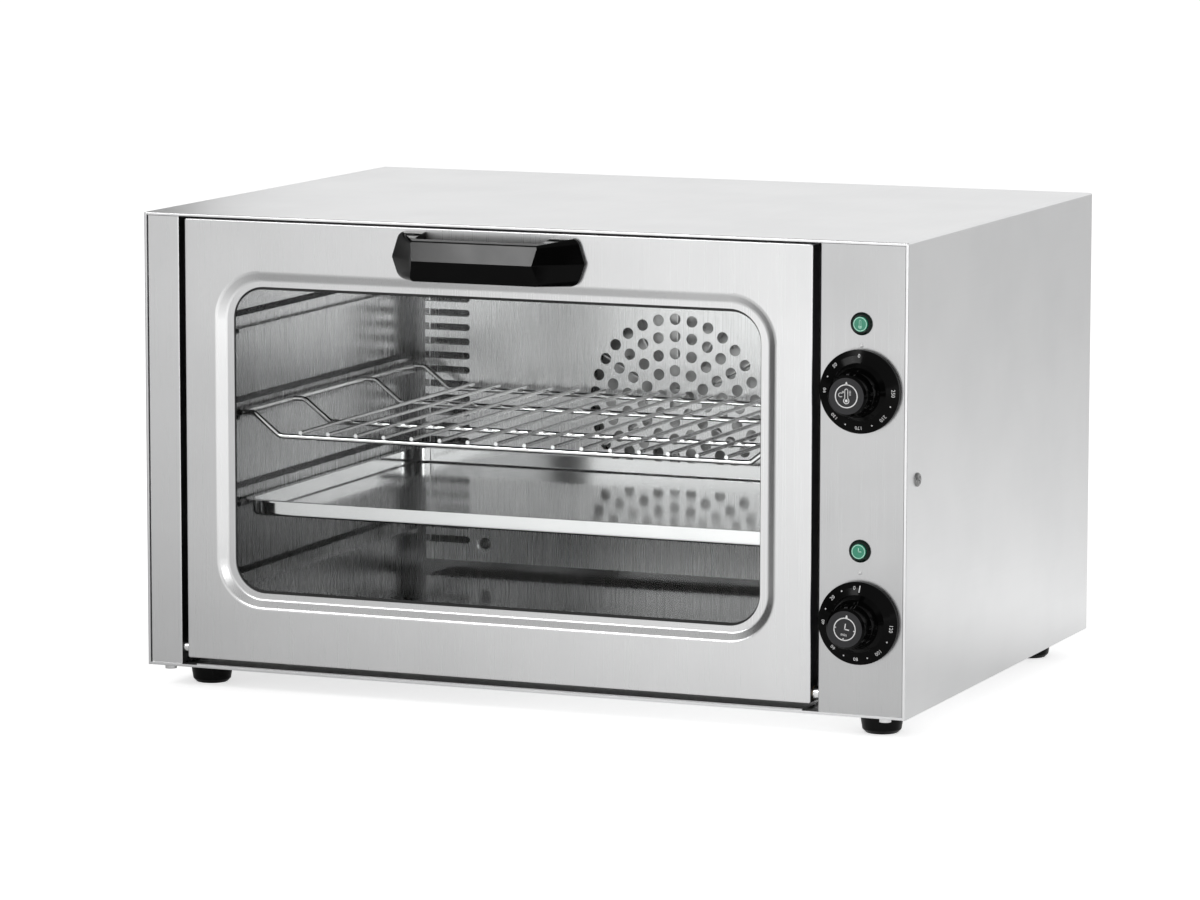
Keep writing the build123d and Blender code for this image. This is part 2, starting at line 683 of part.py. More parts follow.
def door_outer_skin():
    """The door's front pan with the stepped window frame pressed into it."""
    box = block(DOOR_LEFT, DOOR_RIGHT, 0, DOOR_PAN, DOOR_LOW, DOOR_TOP)
    box = fillet(box.edges().filter_by(Axis.Y), DOOR_EDGE)
    box = fillet(box.faces().sort_by(Axis.Y)[0].edges(), DOOR_FOLD)
    room = block(DOOR_LEFT + SHEET, DOOR_RIGHT - SHEET, SHEET, DOOR_PAN - SHEET,
                 DOOR_LOW + SHEET, DOOR_TOP - SHEET)
    mouth = block(DOOR_LEFT + DOOR_RIM, DOOR_RIGHT - DOOR_RIM, DOOR_PAN - SHEET, DOOR_PAN,
                  DOOR_LOW + DOOR_RIM, DOOR_TOP - DOOR_RIM)
    land_w = WINDOW_W - 2 * SLOPE
    land_h = WINDOW_H - 2 * SLOPE
    land_r = WINDOW_R - SLOPE
    grow = 2 * SHEET
    deep = SLOPE_DEEP + SHEET
    pressed = loft([
        outline(WINDOW_X, WINDOW_Z, WINDOW_W + grow, WINDOW_H + grow, WINDOW_R + SHEET, 0),
        outline(WINDOW_X, WINDOW_Z, land_w + grow, land_h + grow, land_r + SHEET, deep),
    ])
    hollow = loft([
        outline(WINDOW_X, WINDOW_Z, WINDOW_W, WINDOW_H, WINDOW_R, 0),
        outline(WINDOW_X, WINDOW_Z, land_w, land_h, land_r, SLOPE_DEEP),
    ])
    hollow = fillet(hollow.faces().sort_by(Axis.Y)[-1].edges(), SLOPE_INNER_SOFT)
    opening = slab(WINDOW_X, WINDOW_Z, OPENING_W, OPENING_H, OPENING_R, 0, deep)
    skin = box - room - mouth + pressed - hollow - opening
    rim = skin.faces().sort_by(Axis.Y)[0].inner_wires()[0]
    skin = fillet(rim.edges(), SLOPE_OUTER_SOFT)
    cuts = [bar_x(HINGE_Y, HINGE_Z, BUSH_R + FIT, DOOR_LEFT, DOOR_LEFT + SHEET)]
    cuts.append(bar_x(HINGE_Y, HINGE_Z, BUSH_R + FIT, DOOR_RIGHT, DOOR_RIGHT - SHEET))
    cuts += handle_screw_bars(HANDLE_SCREW_R + FIT, 0, SHEET)
    return skin - cuts


def door_glass_seal():
    """The thin black seal between the pressed land and the outer pane."""
    width = WINDOW_W - 2 * SLOPE
    height = WINDOW_H - 2 * SLOPE
    border = (width - OPENING_W) / 2 + SEAL_SHOWN
    front = GLASS_Y - SEAL
    return ring(WINDOW_X, WINDOW_Z, width, height, WINDOW_R - SLOPE, border, front, GLASS_Y)


def door_outer_glass():
    """The outer pane."""
    return slab(WINDOW_X, WINDOW_Z, PANE_W, PANE_H, PANE_R, GLASS_Y, GLASS_Y + GLASS)


def door_glass_spacer():
    """The frame that holds the two panes apart."""
    front = GLASS_Y + GLASS
    return ring(WINDOW_X, WINDOW_Z, PANE_W, PANE_H, PANE_R, SPACER, front, front + GLASS_GAP)


def door_inner_glass():
    """The inner pane."""
    front = GLASS_Y + GLASS + GLASS_GAP
    return slab(WINDOW_X, WINDOW_Z, PANE_W, PANE_H, PANE_R, front, front + GLASS)


def door_inner_skin():
    """The pan on the cavity side of the door, which presses the panes forward."""
    inset = SKIN_INSET
    x0 = DOOR_LEFT + inset
    x1 = DOOR_RIGHT - inset
    z0 = DOOR_LOW + inset
    z1 = DOOR_TOP - inset
    box = block(x0, x1, DOOR_PAN, SKIN_BACK, z0, z1)
    room = block(x0 + SHEET, x1 - SHEET, DOOR_PAN, SKIN_BACK - SHEET, z0 + SHEET, z1 - SHEET)
    opening = slab(WINDOW_X, WINDOW_Z, SKIN_OPENING_W, SKIN_OPENING_H, SKIN_OPENING_R,
                   SKIN_BACK - SHEET, SKIN_BACK)
    return box - room - opening


def soft_face(corners):
    """A flat face from (point, radius) corners, each corner rounded by its radius."""
    face = make_face(Polyline([point for point, _ in corners], close=True))
    for point, radius in corners:
        if radius:
            face = fillet(face.vertices().sort_by_distance(point)[0], radius)
    return face


def handle_section(y, tip, tip_z, top, top_z, low, low_z, radii):
    """A six-sided outline with rounded corners, facing forward."""
    tip_r, top_r, low_r = radii
    return soft_face(
        [
            ((HANDLE_X - tip, y, tip_z), tip_r),
            ((HANDLE_X - top, y, top_z), top_r),
            ((HANDLE_X + top, y, top_z), top_r),
            ((HANDLE_X + tip, y, tip_z), tip_r),
            ((HANDLE_X + low, y, low_z), low_r),
            ((HANDLE_X - low, y, low_z), low_r),
        ]
    )


def handle_base(y):
    """The outline of the handle where it meets the door."""
    radii = (HANDLE_TIP_R, HANDLE_TOP_R, HANDLE_LOW_R)
    return handle_section(y, HANDLE_TIP, HANDLE_TIP_Z, HANDLE_TOP_HALF, HANDLE_TOP,
                          HANDLE_LOW_HALF, HANDLE_LOW, radii)


def handle_bar(y, half):
    """The outline of the handle's bar."""
    end = half - HANDLE_BAR_SLANT
    radii = (HANDLE_BAR_R, HANDLE_BAR_R, HANDLE_BAR_R)
    return handle_section(y, half, HANDLE_RIDGE_Z, end, HANDLE_BAR_TOP, end, HANDLE_CHIN_Z, radii)


def handle_facets():
    """The section of the handle along its length: two front facets with soft edges."""
    x = HANDLE_X - HANDLE_TIP
    section = soft_face(
        [
            ((x, 0, HANDLE_LOW), 0),
            ((x, HANDLE_CHIN_Y, HANDLE_LOW), HANDLE_EDGE_R),
            ((x, -HANDLE_OUT, HANDLE_RIDGE_Z), 0),
            ((x, HANDLE_BAR_TOP_Y, HANDLE_BAR_TOP), HANDLE_EDGE_R),
            ((x, 0, HANDLE_TOP), 0),
        ]
    )
    return extrude(section, amount=2 * HANDLE_TIP, dir=(1, 0, 0))


def door_handle():
    """The moulded grip: it tapers from its base to the bar, with a finger pocket from above."""
    front = -HANDLE_OUT
    grip = extrude(handle_base(0), amount=HANDLE_BASE, dir=(0, -1, 0))
    grip += loft([handle_base(-HANDLE_BASE), handle_bar(front + HANDLE_SHOULDER, HANDLE_SHOULDER_HALF)],
                 ruled=True)
    grip += loft([handle_bar(front + HANDLE_SHOULDER, HANDLE_SHOULDER_HALF),
                  handle_bar(front, HANDLE_BAR_HALF)], ruled=True)
    pocket = block(HANDLE_X - POCKET_HALF, HANDLE_X + POCKET_HALF, -POCKET_DEEP, 0,
                   POCKET_FLOOR, HANDLE_TOP)
    pocket = fillet(pocket.edges().filter_by(Axis.Z).group_by(Axis.Y)[0], POCKET_R)
    grip = (grip & handle_facets()) - pocket
    return grip - handle_screw_bars(HANDLE_SCREW_R + FIT, -HANDLE_SCREW_LONG, 0)


def handle_screw_bars(radius, y0, y1):
    """A round bar at each handle screw."""
    return [bar_y(HANDLE_X + side * HANDLE_SCREW_X, HANDLE_TIP_Z, radius, y0, y1) for side in (-1, 1)]


def handle_screws():
    """The two handle screws, heads inside the door."""
    heads = handle_screw_bars(HANDLE_SCREW_HEAD_R, SHEET, SHEET + HANDLE_SCREW_HEAD)
    shanks = handle_screw_bars(HANDLE_SCREW_R, FIT - HANDLE_SCREW_LONG, SHEET)
    return Compound(children=[a + b for a, b in zip(heads, shanks)])


def baffle_screw_bars(radius, y0, y1):
    """A round bar at each baffle screw."""
    spots = [(side, z) for side in (-1, 1) for z in (DIMPLE_LOW_Z, DIMPLE_TOP_Z)]
    return [bar_y(DOOR_X + side * DIMPLE_X, z, radius, y0, y1) for side, z in spots]


def cavity_wrap():
    """The cavity's floor, rear wall and top in one bent sheet."""
    half = CAVITY_HALF + SKIN
    x0 = DOOR_X - half
    x1 = DOOR_X + half
    y0 = FRAME_Y + SHEET
    y1 = CAVITY_BACK + SKIN
    wrap = block(x0, x1, y0, y1, CAVITY_LOW - SKIN, CAVITY_LOW)
    wrap += block(x0, x1, CAVITY_BACK, y1, CAVITY_LOW - SKIN, CAVITY_TOP + SKIN)
    wrap += block(x0, x1, y0, y1, CAVITY_TOP, CAVITY_TOP + SKIN)
    cuts = baffle_screw_bars(BAFFLE_SCREW_R + FIT, CAVITY_BACK, y1)
    cuts.append(bar_y(DOOR_X, FAN_Z, SHAFT_HOLE_R, CAVITY_BACK, y1))
    cuts += [bar_y(x, z, HEATER_TUBE_R + FIT, CAVITY_BACK, y1) for x, z in heater_legs()]
    return wrap - cuts


def guide_points(top, inset):
    """The bead above a rib that keeps a shelf down, as (distance from the middle, z)."""
    slope = GUIDE_SLOPE / GUIDE_OUT
    high = top + GUIDE_UP - inset * hypot(1, slope) + slope * inset
    guide = CAVITY_HALF - GUIDE_OUT + inset
    return [(CAVITY_HALF + inset, high), (guide, high - GUIDE_SLOPE), (guide, top - inset)]


def rib_points(side, top, inset):
    """The section of one pressed rib with its guide bead, as (x, z); inset gives its hollow."""
    wall = CAVITY_HALF + inset
    nose = CAVITY_HALF - RIB_OUT + inset
    slope = (RIB_H - RIB_NOSE) / RIB_OUT
    lift = inset * hypot(1, slope)
    nose_low = top - RIB_NOSE + lift - slope * inset
    wall_low = top - RIB_H + lift - slope * inset
    points = guide_points(top, inset) + [(nose, top - inset), (nose, nose_low), (wall, wall_low)]
    return [(DOOR_X + side * u, z) for u, z in points]


def cavity_side(side):
    """A cavity wall with its pressed shelf ribs."""
    x0 = DOOR_X + side * CAVITY_HALF
    wall = block(x0, x0 + side * SKIN, FRAME_Y + SHEET, CAVITY_BACK, CAVITY_LOW, CAVITY_TOP)
    tops = [RIB_TOP_Z - row * RIB_PITCH for row in range(RIB_COUNT)]
    wall += [prism_y(rib_points(side, top, 0), RIB_FRONT, RIB_BACK) for top in tops]
    hollows = [prism_y(rib_points(side, top, SKIN), RIB_FRONT + SKIN, RIB_BACK - SKIN) for top in tops]
    return wall - hollows


def fan_baffle():
    """The sheet in front of the fan: hole pattern, side slots and four round dimples."""
    x0 = DOOR_X - BAFFLE_HALF
    x1 = DOOR_X + BAFFLE_HALF
    back = BAFFLE_Y + SKIN
    plate = block(x0, x1, BAFFLE_Y, back, BAFFLE_LOW, BAFFLE_TOP)
    plate += block(x0, x0 + SKIN, BAFFLE_Y, CAVITY_BACK, BAFFLE_LOW, BAFFLE_TOP)
    plate += block(x1 - SKIN, x1, BAFFLE_Y, CAVITY_BACK, BAFFLE_LOW, BAFFLE_TOP)
    cuts = [bar_y(DOOR_X, FAN_Z, HOLE_R, BAFFLE_Y, back)]
    for n in range(1, HOLE_RINGS + 1):
        for k in range(6 * n):
            turn = 2 * pi * k / (6 * n)
            x = DOOR_X + n * HOLE_PITCH * sin(turn)
            z = FAN_Z + n * HOLE_PITCH * cos(turn)
            cuts.append(bar_y(x, z, HOLE_R, BAFFLE_Y, back))
    for side in (-1, 1):
        for row in range(SLOT_COUNT):
            z = SLOT_LOW_Z + row * SLOT_PITCH
            start = DOOR_X + side * (SLOT_INNER + SLOT_H / 2)
            end = DOOR_X + side * BAFFLE_HALF
            cuts.append(bar_y(start, z, SLOT_H / 2, BAFFLE_Y, back))
            cuts.append(block(start, end, BAFFLE_Y, BAFFLE_Y + SLOT_WRAP, z - SLOT_H / 2, z + SLOT_H / 2))
    cups = baffle_screw_bars(DIMPLE_R, BAFFLE_Y, back + DIMPLE_DEEP)
    cuts += baffle_screw_bars(DIMPLE_R - SKIN, BAFFLE_Y, BAFFLE_Y + DIMPLE_DEEP)
    cuts += baffle_screw_bars(BAFFLE_SCREW_R + FIT, BAFFLE_Y, back + DIMPLE_DEEP)
    return plate + cups - cuts


def baffle_screws():
    """The four baffle screws, heads in the dimples."""
    seat = BAFFLE_Y + DIMPLE_DEEP
    heads = baffle_screw_bars(BAFFLE_SCREW_HEAD_R, seat - BAFFLE_SCREW_HEAD, seat)
    shanks = baffle_screw_bars(BAFFLE_SCREW_R, seat, BAFFLE_SCREW_END)
    return Compound(children=[a + b for a, b in zip(heads, shanks)])


def heater_angle(side):
    """The angle, from straight down, at which the heater ring turns back."""
    return side * HEATER_HALF_GAP


def heater_legs():
    """Where the heater's two legs cross the rear wall, as (x, z)."""
    legs = []
    for side in (-1, 1):
        turn = heater_angle(side)
        x = DOOR_X + HEATER_R * sin(turn) - side * HEATER_BEND * cos(turn)
        z = FAN_Z - HEATER_R * cos(turn) - HEATER_BEND * abs(sin(turn))
        legs.append((x, z))
    return legs


def heating_element():
    """The ring heater round the fan, its two ends bent back through the rear wall."""
    path = []
    ends = []
    for side, (leg_x, leg_z) in zip((-1, 1), heater_legs()):
        turn = heater_angle(side)
        x = DOOR_X + HEATER_R * sin(turn)
        z = FAN_Z - HEATER_R * cos(turn)
        near = 1 - cos(pi / 4)
        far = sin(pi / 4)
        middle = (x + (leg_x - x) * far, HEATER_Y + HEATER_BEND * near, z + (leg_z - z) * far)
        bend_end = (leg_x, HEATER_Y + HEATER_BEND, leg_z)
        path.append(ThreePointArc((x, HEATER_Y, z), middle, bend_end))
        path.append(Line(bend_end, (leg_x, HEATER_END, leg_z)))
        ends.append((x, HEATER_Y, z))
    path.append(ThreePointArc(ends[0], (DOOR_X, HEATER_Y, FAN_Z + HEATER_R), ends[1]))
    wire = Wire(path)
    leg_x, leg_z = heater_legs()[0]
    section = Pos(leg_x, HEATER_END, leg_z) * Rot(90, 0, 0) * Circle(HEATER_TUBE_R)
    return sweep(section, path=wire)


def fan_wheel():
    """The radial wheel that drives the air round the cavity."""
    plate_front = WHEEL_BACK - WHEEL_PLATE
    wheel = bar_y(DOOR_X, FAN_Z, WHEEL_R, plate_front, WHEEL_BACK)
    wheel += bar_y(DOOR_X, FAN_Z, HUB_R, WHEEL_FRONT, WHEEL_BACK)
    blade = block(BLADE_INNER, WHEEL_R - BLADE, WHEEL_FRONT, plate_front, -BLADE / 2, BLADE / 2)
    for n in range(BLADES):
        wheel += Pos(DOOR_X, 0, FAN_Z) * Rot(0, 360 * n / BLADES, 0) * blade
    return wheel - bar_y(DOOR_X, FAN_Z, SHAFT_R + FIT, SHAFT_FRONT, WHEEL_BACK)


def motor_bracket():
    """The plate on the rear wall that carries the motor."""
    y0 = CAVITY_BACK + SKIN
    plate = block(DOOR_X - BRACKET_HALF_X, DOOR_X + BRACKET_HALF_X, y0, y0 + BRACKET_PLATE,
                  FAN_Z - BRACKET_HALF_Z, FAN_Z + BRACKET_HALF_Z)
    return plate - bar_y(DOOR_X, FAN_Z, SHAFT_HOLE_R, y0, y0 + BRACKET_PLATE)


def fan_motor():
    """The motor housing, open at the rear."""
    y0 = MOTOR_Y
    y1 = y0 + MOTOR_LONG
    housing = bar_y(DOOR_X, FAN_Z, MOTOR_R, y0, y1)
    housing -= bar_y(DOOR_X, FAN_Z, ROTOR_R + ROTOR_GAP, y0 + MOTOR_WALL, y1)
    return housing - bar_y(DOOR_X, FAN_Z, SHAFT_R + RUN, y0, y1)


def motor_end_cap():
    """The cap that closes the motor and holds the rear bearing."""
    y0 = MOTOR_Y + MOTOR_LONG
    cap = bar_y(DOOR_X, FAN_Z, MOTOR_R, y0, y0 + CAP)
    return cap - bar_y(DOOR_X, FAN_Z, SHAFT_R + RUN, y0, y0 + CAP)


def motor_shaft():
    """The shaft with the rotor on it."""
    y0 = MOTOR_Y + MOTOR_WALL + ROTOR_GAP
    y1 = MOTOR_Y + MOTOR_LONG - ROTOR_GAP
    return bar_y(DOOR_X, FAN_Z, SHAFT_R, SHAFT_FRONT, SHAFT_END) + bar_y(DOOR_X, FAN_Z, ROTOR_R, y0, y1)


def insulation_wrap():
    """Mineral wool over the cavity's top and down both of its sides."""
    half = CAVITY_HALF + SKIN
    x0 = DOOR_X - half
    x1 = DOOR_X + half
    top = CAVITY_TOP + SKIN
    y0 = WOOL_FRONT_Y
    y1 = CAVITY_BACK
    wool = block(x0 - WOOL_SIDE_LEFT, x1 + WOOL_SIDE_RIGHT, y0, y1, CAVITY_LOW, top + WOOL_TOP)
    return wool - block(x0, x1, y0, y1, CAVITY_LOW, top)


def insulation_floor():
    """Mineral wool between the base sheet and the cavity floor."""
    half = CAVITY_HALF - WOOL_EDGE
    return block(DOOR_X - half, DOOR_X + half, WOOL_FRONT_Y, CAVITY_BACK, SHEET, CAVITY_LOW - SKIN)


def insulation_rear():
    """Mineral wool behind the rear wall, cut out round the motor and the heater legs."""
    half = CAVITY_HALF - WOOL_EDGE
    y0 = CAVITY_BACK + SKIN
    wool = block(DOOR_X - half, DOOR_X + half, y0, y0 + WOOL_REAR,
                 CAVITY_LOW + WOOL_EDGE, CAVITY_TOP - WOOL_EDGE)
    cuts = [bar_y(DOOR_X, FAN_Z, WOOL_MOTOR_R, y0, y0 + WOOL_REAR)]
    cuts += baffle_screw_bars(2 * BAFFLE_SCREW_R, y0, y0 + WOOL_REAR)
    cuts += [bar_y(x, z, WOOL_LEG_R, y0, y0 + WOOL_REAR) for x, z in heater_legs()]
    return wool - cuts


def knob(z):
    """A control knob: thin skirt, flared grip and a raised ridge on top."""
    front = KNOB_BACK - KNOB_SKIRT
    points = [(0, KNOB_BACK), (KNOB_SKIRT_R, KNOB_BACK), (KNOB_SKIRT_R, front)]
    points += KNOB_FLARE
    points += [(KNOB_FACE_R, KNOB_FACE_Y), (0, KNOB_FACE_Y)]
    shape = turned_y(CONTROL_X, z, points)
    ridge_top = KNOB_FLARE[-1][0] + KNOB_RIDGE_OUT
    shape += block(CONTROL_X - KNOB_RIDGE / 2, CONTROL_X + KNOB_RIDGE / 2, KNOB_RIDGE_FROM,
                   KNOB_FLARE[1][1], z + CONTROL_SHAFT_R, z + ridge_top)
    return shape - bar_y(CONTROL_X, z, CONTROL_SHAFT_R + FIT, KNOB_BORE_END, KNOB_BACK)


def control_shaft(z):
    """The shaft of a rotary control."""
    return bar_y(CONTROL_X, z, CONTROL_SHAFT_R, KNOB_BORE_END, CONTROL_SHAFT_END)


def control_body(z, deep):
    """The switch body behind the panel, with a neck through the panel."""
    y0 = FACE_Y + SHEET
    body = block(CONTROL_X - CONTROL_BODY_HALF, CONTROL_X + CONTROL_BODY_HALF, y0, y0 + deep,
                 z - CONTROL_BODY_HALF, z + CONTROL_BODY_HALF)
    body += bar_y(CONTROL_X, z, NECK_R, FACE_Y, y0)
    return body - bar_y(CONTROL_X, z, CONTROL_SHAFT_R + RUN, FACE_Y, CONTROL_SHAFT_END + MOVE_GAP)


def lamp_body(z):
    """The dark cone and barrel of a signal lamp."""
    front = FACE_Y - LAMP_FRONT
    end = FACE_Y + LAMP_BARREL
    shape = turned_y(
        CONTROL_X,
        z,
        [
            (0, front),
            (LAMP_NECK_R, front),
            (LAMP_BEZEL_R, FACE_Y - SHEET / 2),
            (LAMP_BEZEL_R, FACE_Y),
            (LAMP_NECK_R, FACE_Y),
            (LAMP_NECK_R, end),
            (0, end),
        ],
    )
    return shape - bar_y(CONTROL_X, z, LAMP_HOLE_R, front, FACE_Y + LENS_SEAT)


def lamp_lens(z):
    """The green lens, seated in the lamp body and standing a little proud of it."""
    front = FACE_Y - LENS_OUT
    shape = bar_y(CONTROL_X, z, LENS_R, front, FACE_Y + LENS_SEAT)
    flange_front = FACE_Y + LENS_SEAT - SHEET
    shape += bar_y(CONTROL_X, z, LAMP_HOLE_R - FIT, flange_front, FACE_Y + LENS_SEAT)
    return shape


def index_pips():
    """The two bright domes above the knobs that mark the setting."""
    pips = []
    for z in PIP_Z:
        stem_end = FACE_Y + PIP_STEM
        tip = (0, FACE_Y - PIP_OUT)
        rim = (PIP_R, FACE_Y)
        middle = (PIP_R * sin(pi / 4), FACE_Y - PIP_OUT * sin(pi / 4))
        rest = Polyline(rim, (PIP_STEM_R, FACE_Y), (PIP_STEM_R, stem_end), (0, stem_end), tip)
        face = make_face([ThreePointArc(tip, middle, rim)] + list(rest.edges()))
        pips.append(Pos(CONTROL_X, 0, z) * revolve(face, Axis.Y))
    return Compound(children=pips)


def cable_gland():
    """The gland for the supply cable, outside the rear cover."""
    tip = CASE_D + GLAND_OUT
    shape = turned_y(
        GLAND_X,
        GLAND_Z,
        [
            (GLAND_BORE_R, CASE_D - GLAND_STEM),
            (GLAND_STEM_R, CASE_D - GLAND_STEM),
            (GLAND_STEM_R, CASE_D),
            (GLAND_R, CASE_D),
            (GLAND_R, CASE_D + GLAND_STEP),
            (GLAND_TIP_R, tip),
            (GLAND_BORE_R, tip),
        ],
    )
    return shape


def gland_nut():
    """The nut that clamps the gland from inside."""
    nut = bar_y(GLAND_X, GLAND_Z, GLAND_NUT_R, BACK - GLAND_NUT, BACK)
    return nut - bar_y(GLAND_X, GLAND_Z, GLAND_STEM_R + FIT, BACK - GLAND_NUT, BACK)


def terminal_block():
    """The terminal block on the base sheet, near the gland."""
    x0 = GLAND_X - TERMINAL_W / 2
    shape = block(x0, x0 + TERMINAL_W, TERMINAL_Y, TERMINAL_Y + TERMINAL_D, SHEET, SHEET + TERMINAL_H)
    step = TERMINAL_W / TERMINAL_POLES
    z = SHEET + TERMINAL_H / 2
    holes = [x0 + step * (n + 1 / 2) for n in range(TERMINAL_POLES)]
    return shape - [bar_y(x, z, TERMINAL_HOLE_R, TERMINAL_Y, TERMINAL_Y + TERMINAL_D) for x in holes]


def cross_wire(y):
    """One bent wire across the rack, level at both ends and lower between them."""
    half_points = [
        (RACK_FLAT_HALF, RACK_CROSS_Z),
        (RACK_SLOPE_HALF, RACK_REST_Z),
        (RACK_SIDE_HALF + RACK_TIP, RACK_REST_Z),
    ]
    points = [(DOOR_X - u, y, z) for u, z in reversed(half_points)]
    points += [(DOOR_X + u, y, z) for u, z in half_points]
    path = FilletPolyline(*points, radius=RACK_BEND)
    return sweep(Pos(*points[0]) * Rot(0, 90, 0) * Circle(RACK_CROSS_R), path=path)


def wire_rack():
    """The shelf: cross wires that rise at both ends, long wires on top of them."""
    wires = [cross_wire(y) for y in RACK_CROSS_Y]
    long_z = RACK_CROSS_Z + RACK_CROSS_R + RACK_WIRE_R - WELD
    for n in range(RACK_WIRES):
        x = DOOR_X + (n - (RACK_WIRES - 1) / 2) * RACK_PITCH
        wires.append(bar_y(x, long_z, RACK_WIRE_R, RACK_FRONT, RACK_BACK))
    for side in (-1, 1):
        x = DOOR_X + side * RACK_SIDE_HALF
        wires.append(bar_y(x, RACK_REST_Z, RACK_SIDE_R, RACK_FRONT, RACK_BACK))
    return wires[0] + wires[1:]


def baking_tray():
    """The shallow tray, hung by its rim on the third ribs."""
    low = RIB_TOP_Z - 2 * RIB_PITCH + MOVE_GAP + TRAY_WALL - TRAY_H
    middle = Pos(DOOR_X, (RACK_FRONT + RACK_BACK) / 2, low)
    wide = 2 * (TRAY_HALF - TRAY_RIM)
    deep = RACK_DEEP - 2 * TRAY_RIM
    corner = TRAY_R - TRAY_RIM
    wall = TRAY_WALL
    body = extrude(RectangleRounded(wide, deep, corner), amount=TRAY_H)
    body = fillet(body.edges().group_by(Axis.Z)[0], TRAY_EDGE)
    rim = extrude(RectangleRounded(2 * TRAY_HALF, RACK_DEEP, TRAY_R), amount=wall)
    inner = extrude(RectangleRounded(wide - 2 * wall, deep - 2 * wall, corner - wall), amount=TRAY_H)
    inner = fillet(inner.edges().group_by(Axis.Z)[0], TRAY_EDGE - wall)
    return middle * (body + Pos(0, 0, TRAY_H - wall) * rim - Pos(0, 0, wall) * inner)


def all_pieces():
    """Every piece by its node name."""
    pieces = {
        "casing_wrap": casing_wrap(),
        "base_pan": base_pan(),
        "rear_cover": rear_cover(),
        "rear_cover_screws": rear_cover_screws(),
        "foot_screws": foot_screws(),
        "lip_screws": lip_screws(),
        "casing_side_screws": side_screws(),
        "left_fascia": left_fascia(),
        "control_panel": control_panel(),
        "door_sill": door_sill(),
        "cavity_front_frame": cavity_front_frame(),
        "door_gasket": door_gasket(),
        "door_outer_skin": door_outer_skin(),
        "door_glass_seal": door_glass_seal(),
        "door_outer_glass": door_outer_glass(),
        "door_glass_spacer": door_glass_spacer(),
        "door_inner_glass": door_inner_glass(),
        "door_inner_skin": door_inner_skin(),
        "door_handle": door_handle(),
        "handle_screws": handle_screws(),
        "cavity_wrap": cavity_wrap(),
        "fan_baffle": fan_baffle(),
        "baffle_screws": baffle_screws(),
        "heating_element": heating_element(),
        "fan_wheel": fan_wheel(),
        "motor_bracket": motor_bracket(),
        "fan_motor": fan_motor(),
        "motor_end_cap": motor_end_cap(),
        "motor_shaft": motor_shaft(),
        "insulation_wrap": insulation_wrap(),
        "insulation_floor": insulation_floor(),
        "insulation_rear": insulation_rear(),
        "index_pips": index_pips(),
        "cable_gland": cable_gland(),
        "gland_nut": gland_nut(),
        "terminal_block": terminal_block(),
        "wire_rack": wire_rack(),
        "baking_tray": baking_tray(),
    }
    for name, x, y in foot_spots():
        pieces["foot_" + name] = foot(x, y)
    edges = (("left", -1, FASCIA_X, DOOR_LEFT), ("right", 1, PANEL_X, DOOR_RIGHT))
    for name, side, inner_x, door_x in edges:
        pieces["hinge_bracket_" + name] = hinge_bracket(side, inner_x)
        pieces["hinge_pin_" + name] = hinge_pin(side, inner_x, door_x)
        pieces["hinge_bush_" + name] = hinge_bush(side, door_x)
        pieces["cavity_side_" + name] = cavity_side(side)
    names = ("thermostat", "timer")
    for name, z, deep in zip(names, KNOB_Z, (THERMOSTAT_DEEP, TIMER_DEEP)):
        pieces["knob_" + name] = knob(z)
        pieces[name + "_shaft"] = control_shaft(z)
        pieces[name + "_body"] = control_body(z, deep)
    for name, z in zip(names, LAMP_Z):
        pieces["lamp_body_" + name] = lamp_body(z)
        pieces["lamp_lens_" + name] = lamp_lens(z)
    return pieces


def to_base_centre():
    """The move from the building frame to the base centre."""
    front = -HANDLE_OUT
    rear = CASE_D + GLAND_OUT
    return Pos(0, -(front + rear) / 2, FOOT_H)


def main():
    os.makedirs("parts", exist_ok=True)
    move = to_base_centre()
    for name, shape in all_pieces().items():
        export_step(move * shape, "parts/" + name + ".step")


if __name__ == "__main__":
    main()
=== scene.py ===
import math

import bmesh
import bpy
from mathutils import Matrix, Vector


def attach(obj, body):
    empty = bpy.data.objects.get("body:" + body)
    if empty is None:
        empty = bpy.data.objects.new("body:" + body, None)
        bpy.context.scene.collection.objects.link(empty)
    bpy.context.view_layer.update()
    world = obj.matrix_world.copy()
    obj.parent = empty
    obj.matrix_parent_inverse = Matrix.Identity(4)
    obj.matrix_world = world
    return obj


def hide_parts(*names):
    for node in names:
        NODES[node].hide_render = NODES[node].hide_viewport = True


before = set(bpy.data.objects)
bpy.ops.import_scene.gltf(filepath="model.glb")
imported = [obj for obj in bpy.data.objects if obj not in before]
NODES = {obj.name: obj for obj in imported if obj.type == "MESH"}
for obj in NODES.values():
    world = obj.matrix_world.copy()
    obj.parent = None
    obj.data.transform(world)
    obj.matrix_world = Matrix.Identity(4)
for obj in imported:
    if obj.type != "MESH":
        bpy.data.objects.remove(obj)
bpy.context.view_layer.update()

# The CAD source builds in millimetres from the casing's front lower edge. The row frame is in metres
# from the middle of the part's base.
MM = 0.001
SHIFT_Y = -201.7
SHIFT_Z = 17.0


def at(x, y, z):
    """A point of the building frame, in the row frame."""
    return Vector((x * MM, (y + SHIFT_Y) * MM, (z + SHIFT_Z) * MM))


# Camera, fitted to the photograph: its place in building millimetres, its clipping in metres
CAMERA_AT = (1565.427, -3637.871, 719.196)
CAMERA_YAW = math.radians(22.41133)
CAMERA_PITCH = math.radians(7.812815)
CAMERA_ROLL = math.radians(0.072574)
CAMERA_LENS = 167.506
CAMERA_SENSOR = 36.0
CAMERA_NEAR = 0.1
CAMERA_FAR = 60.0

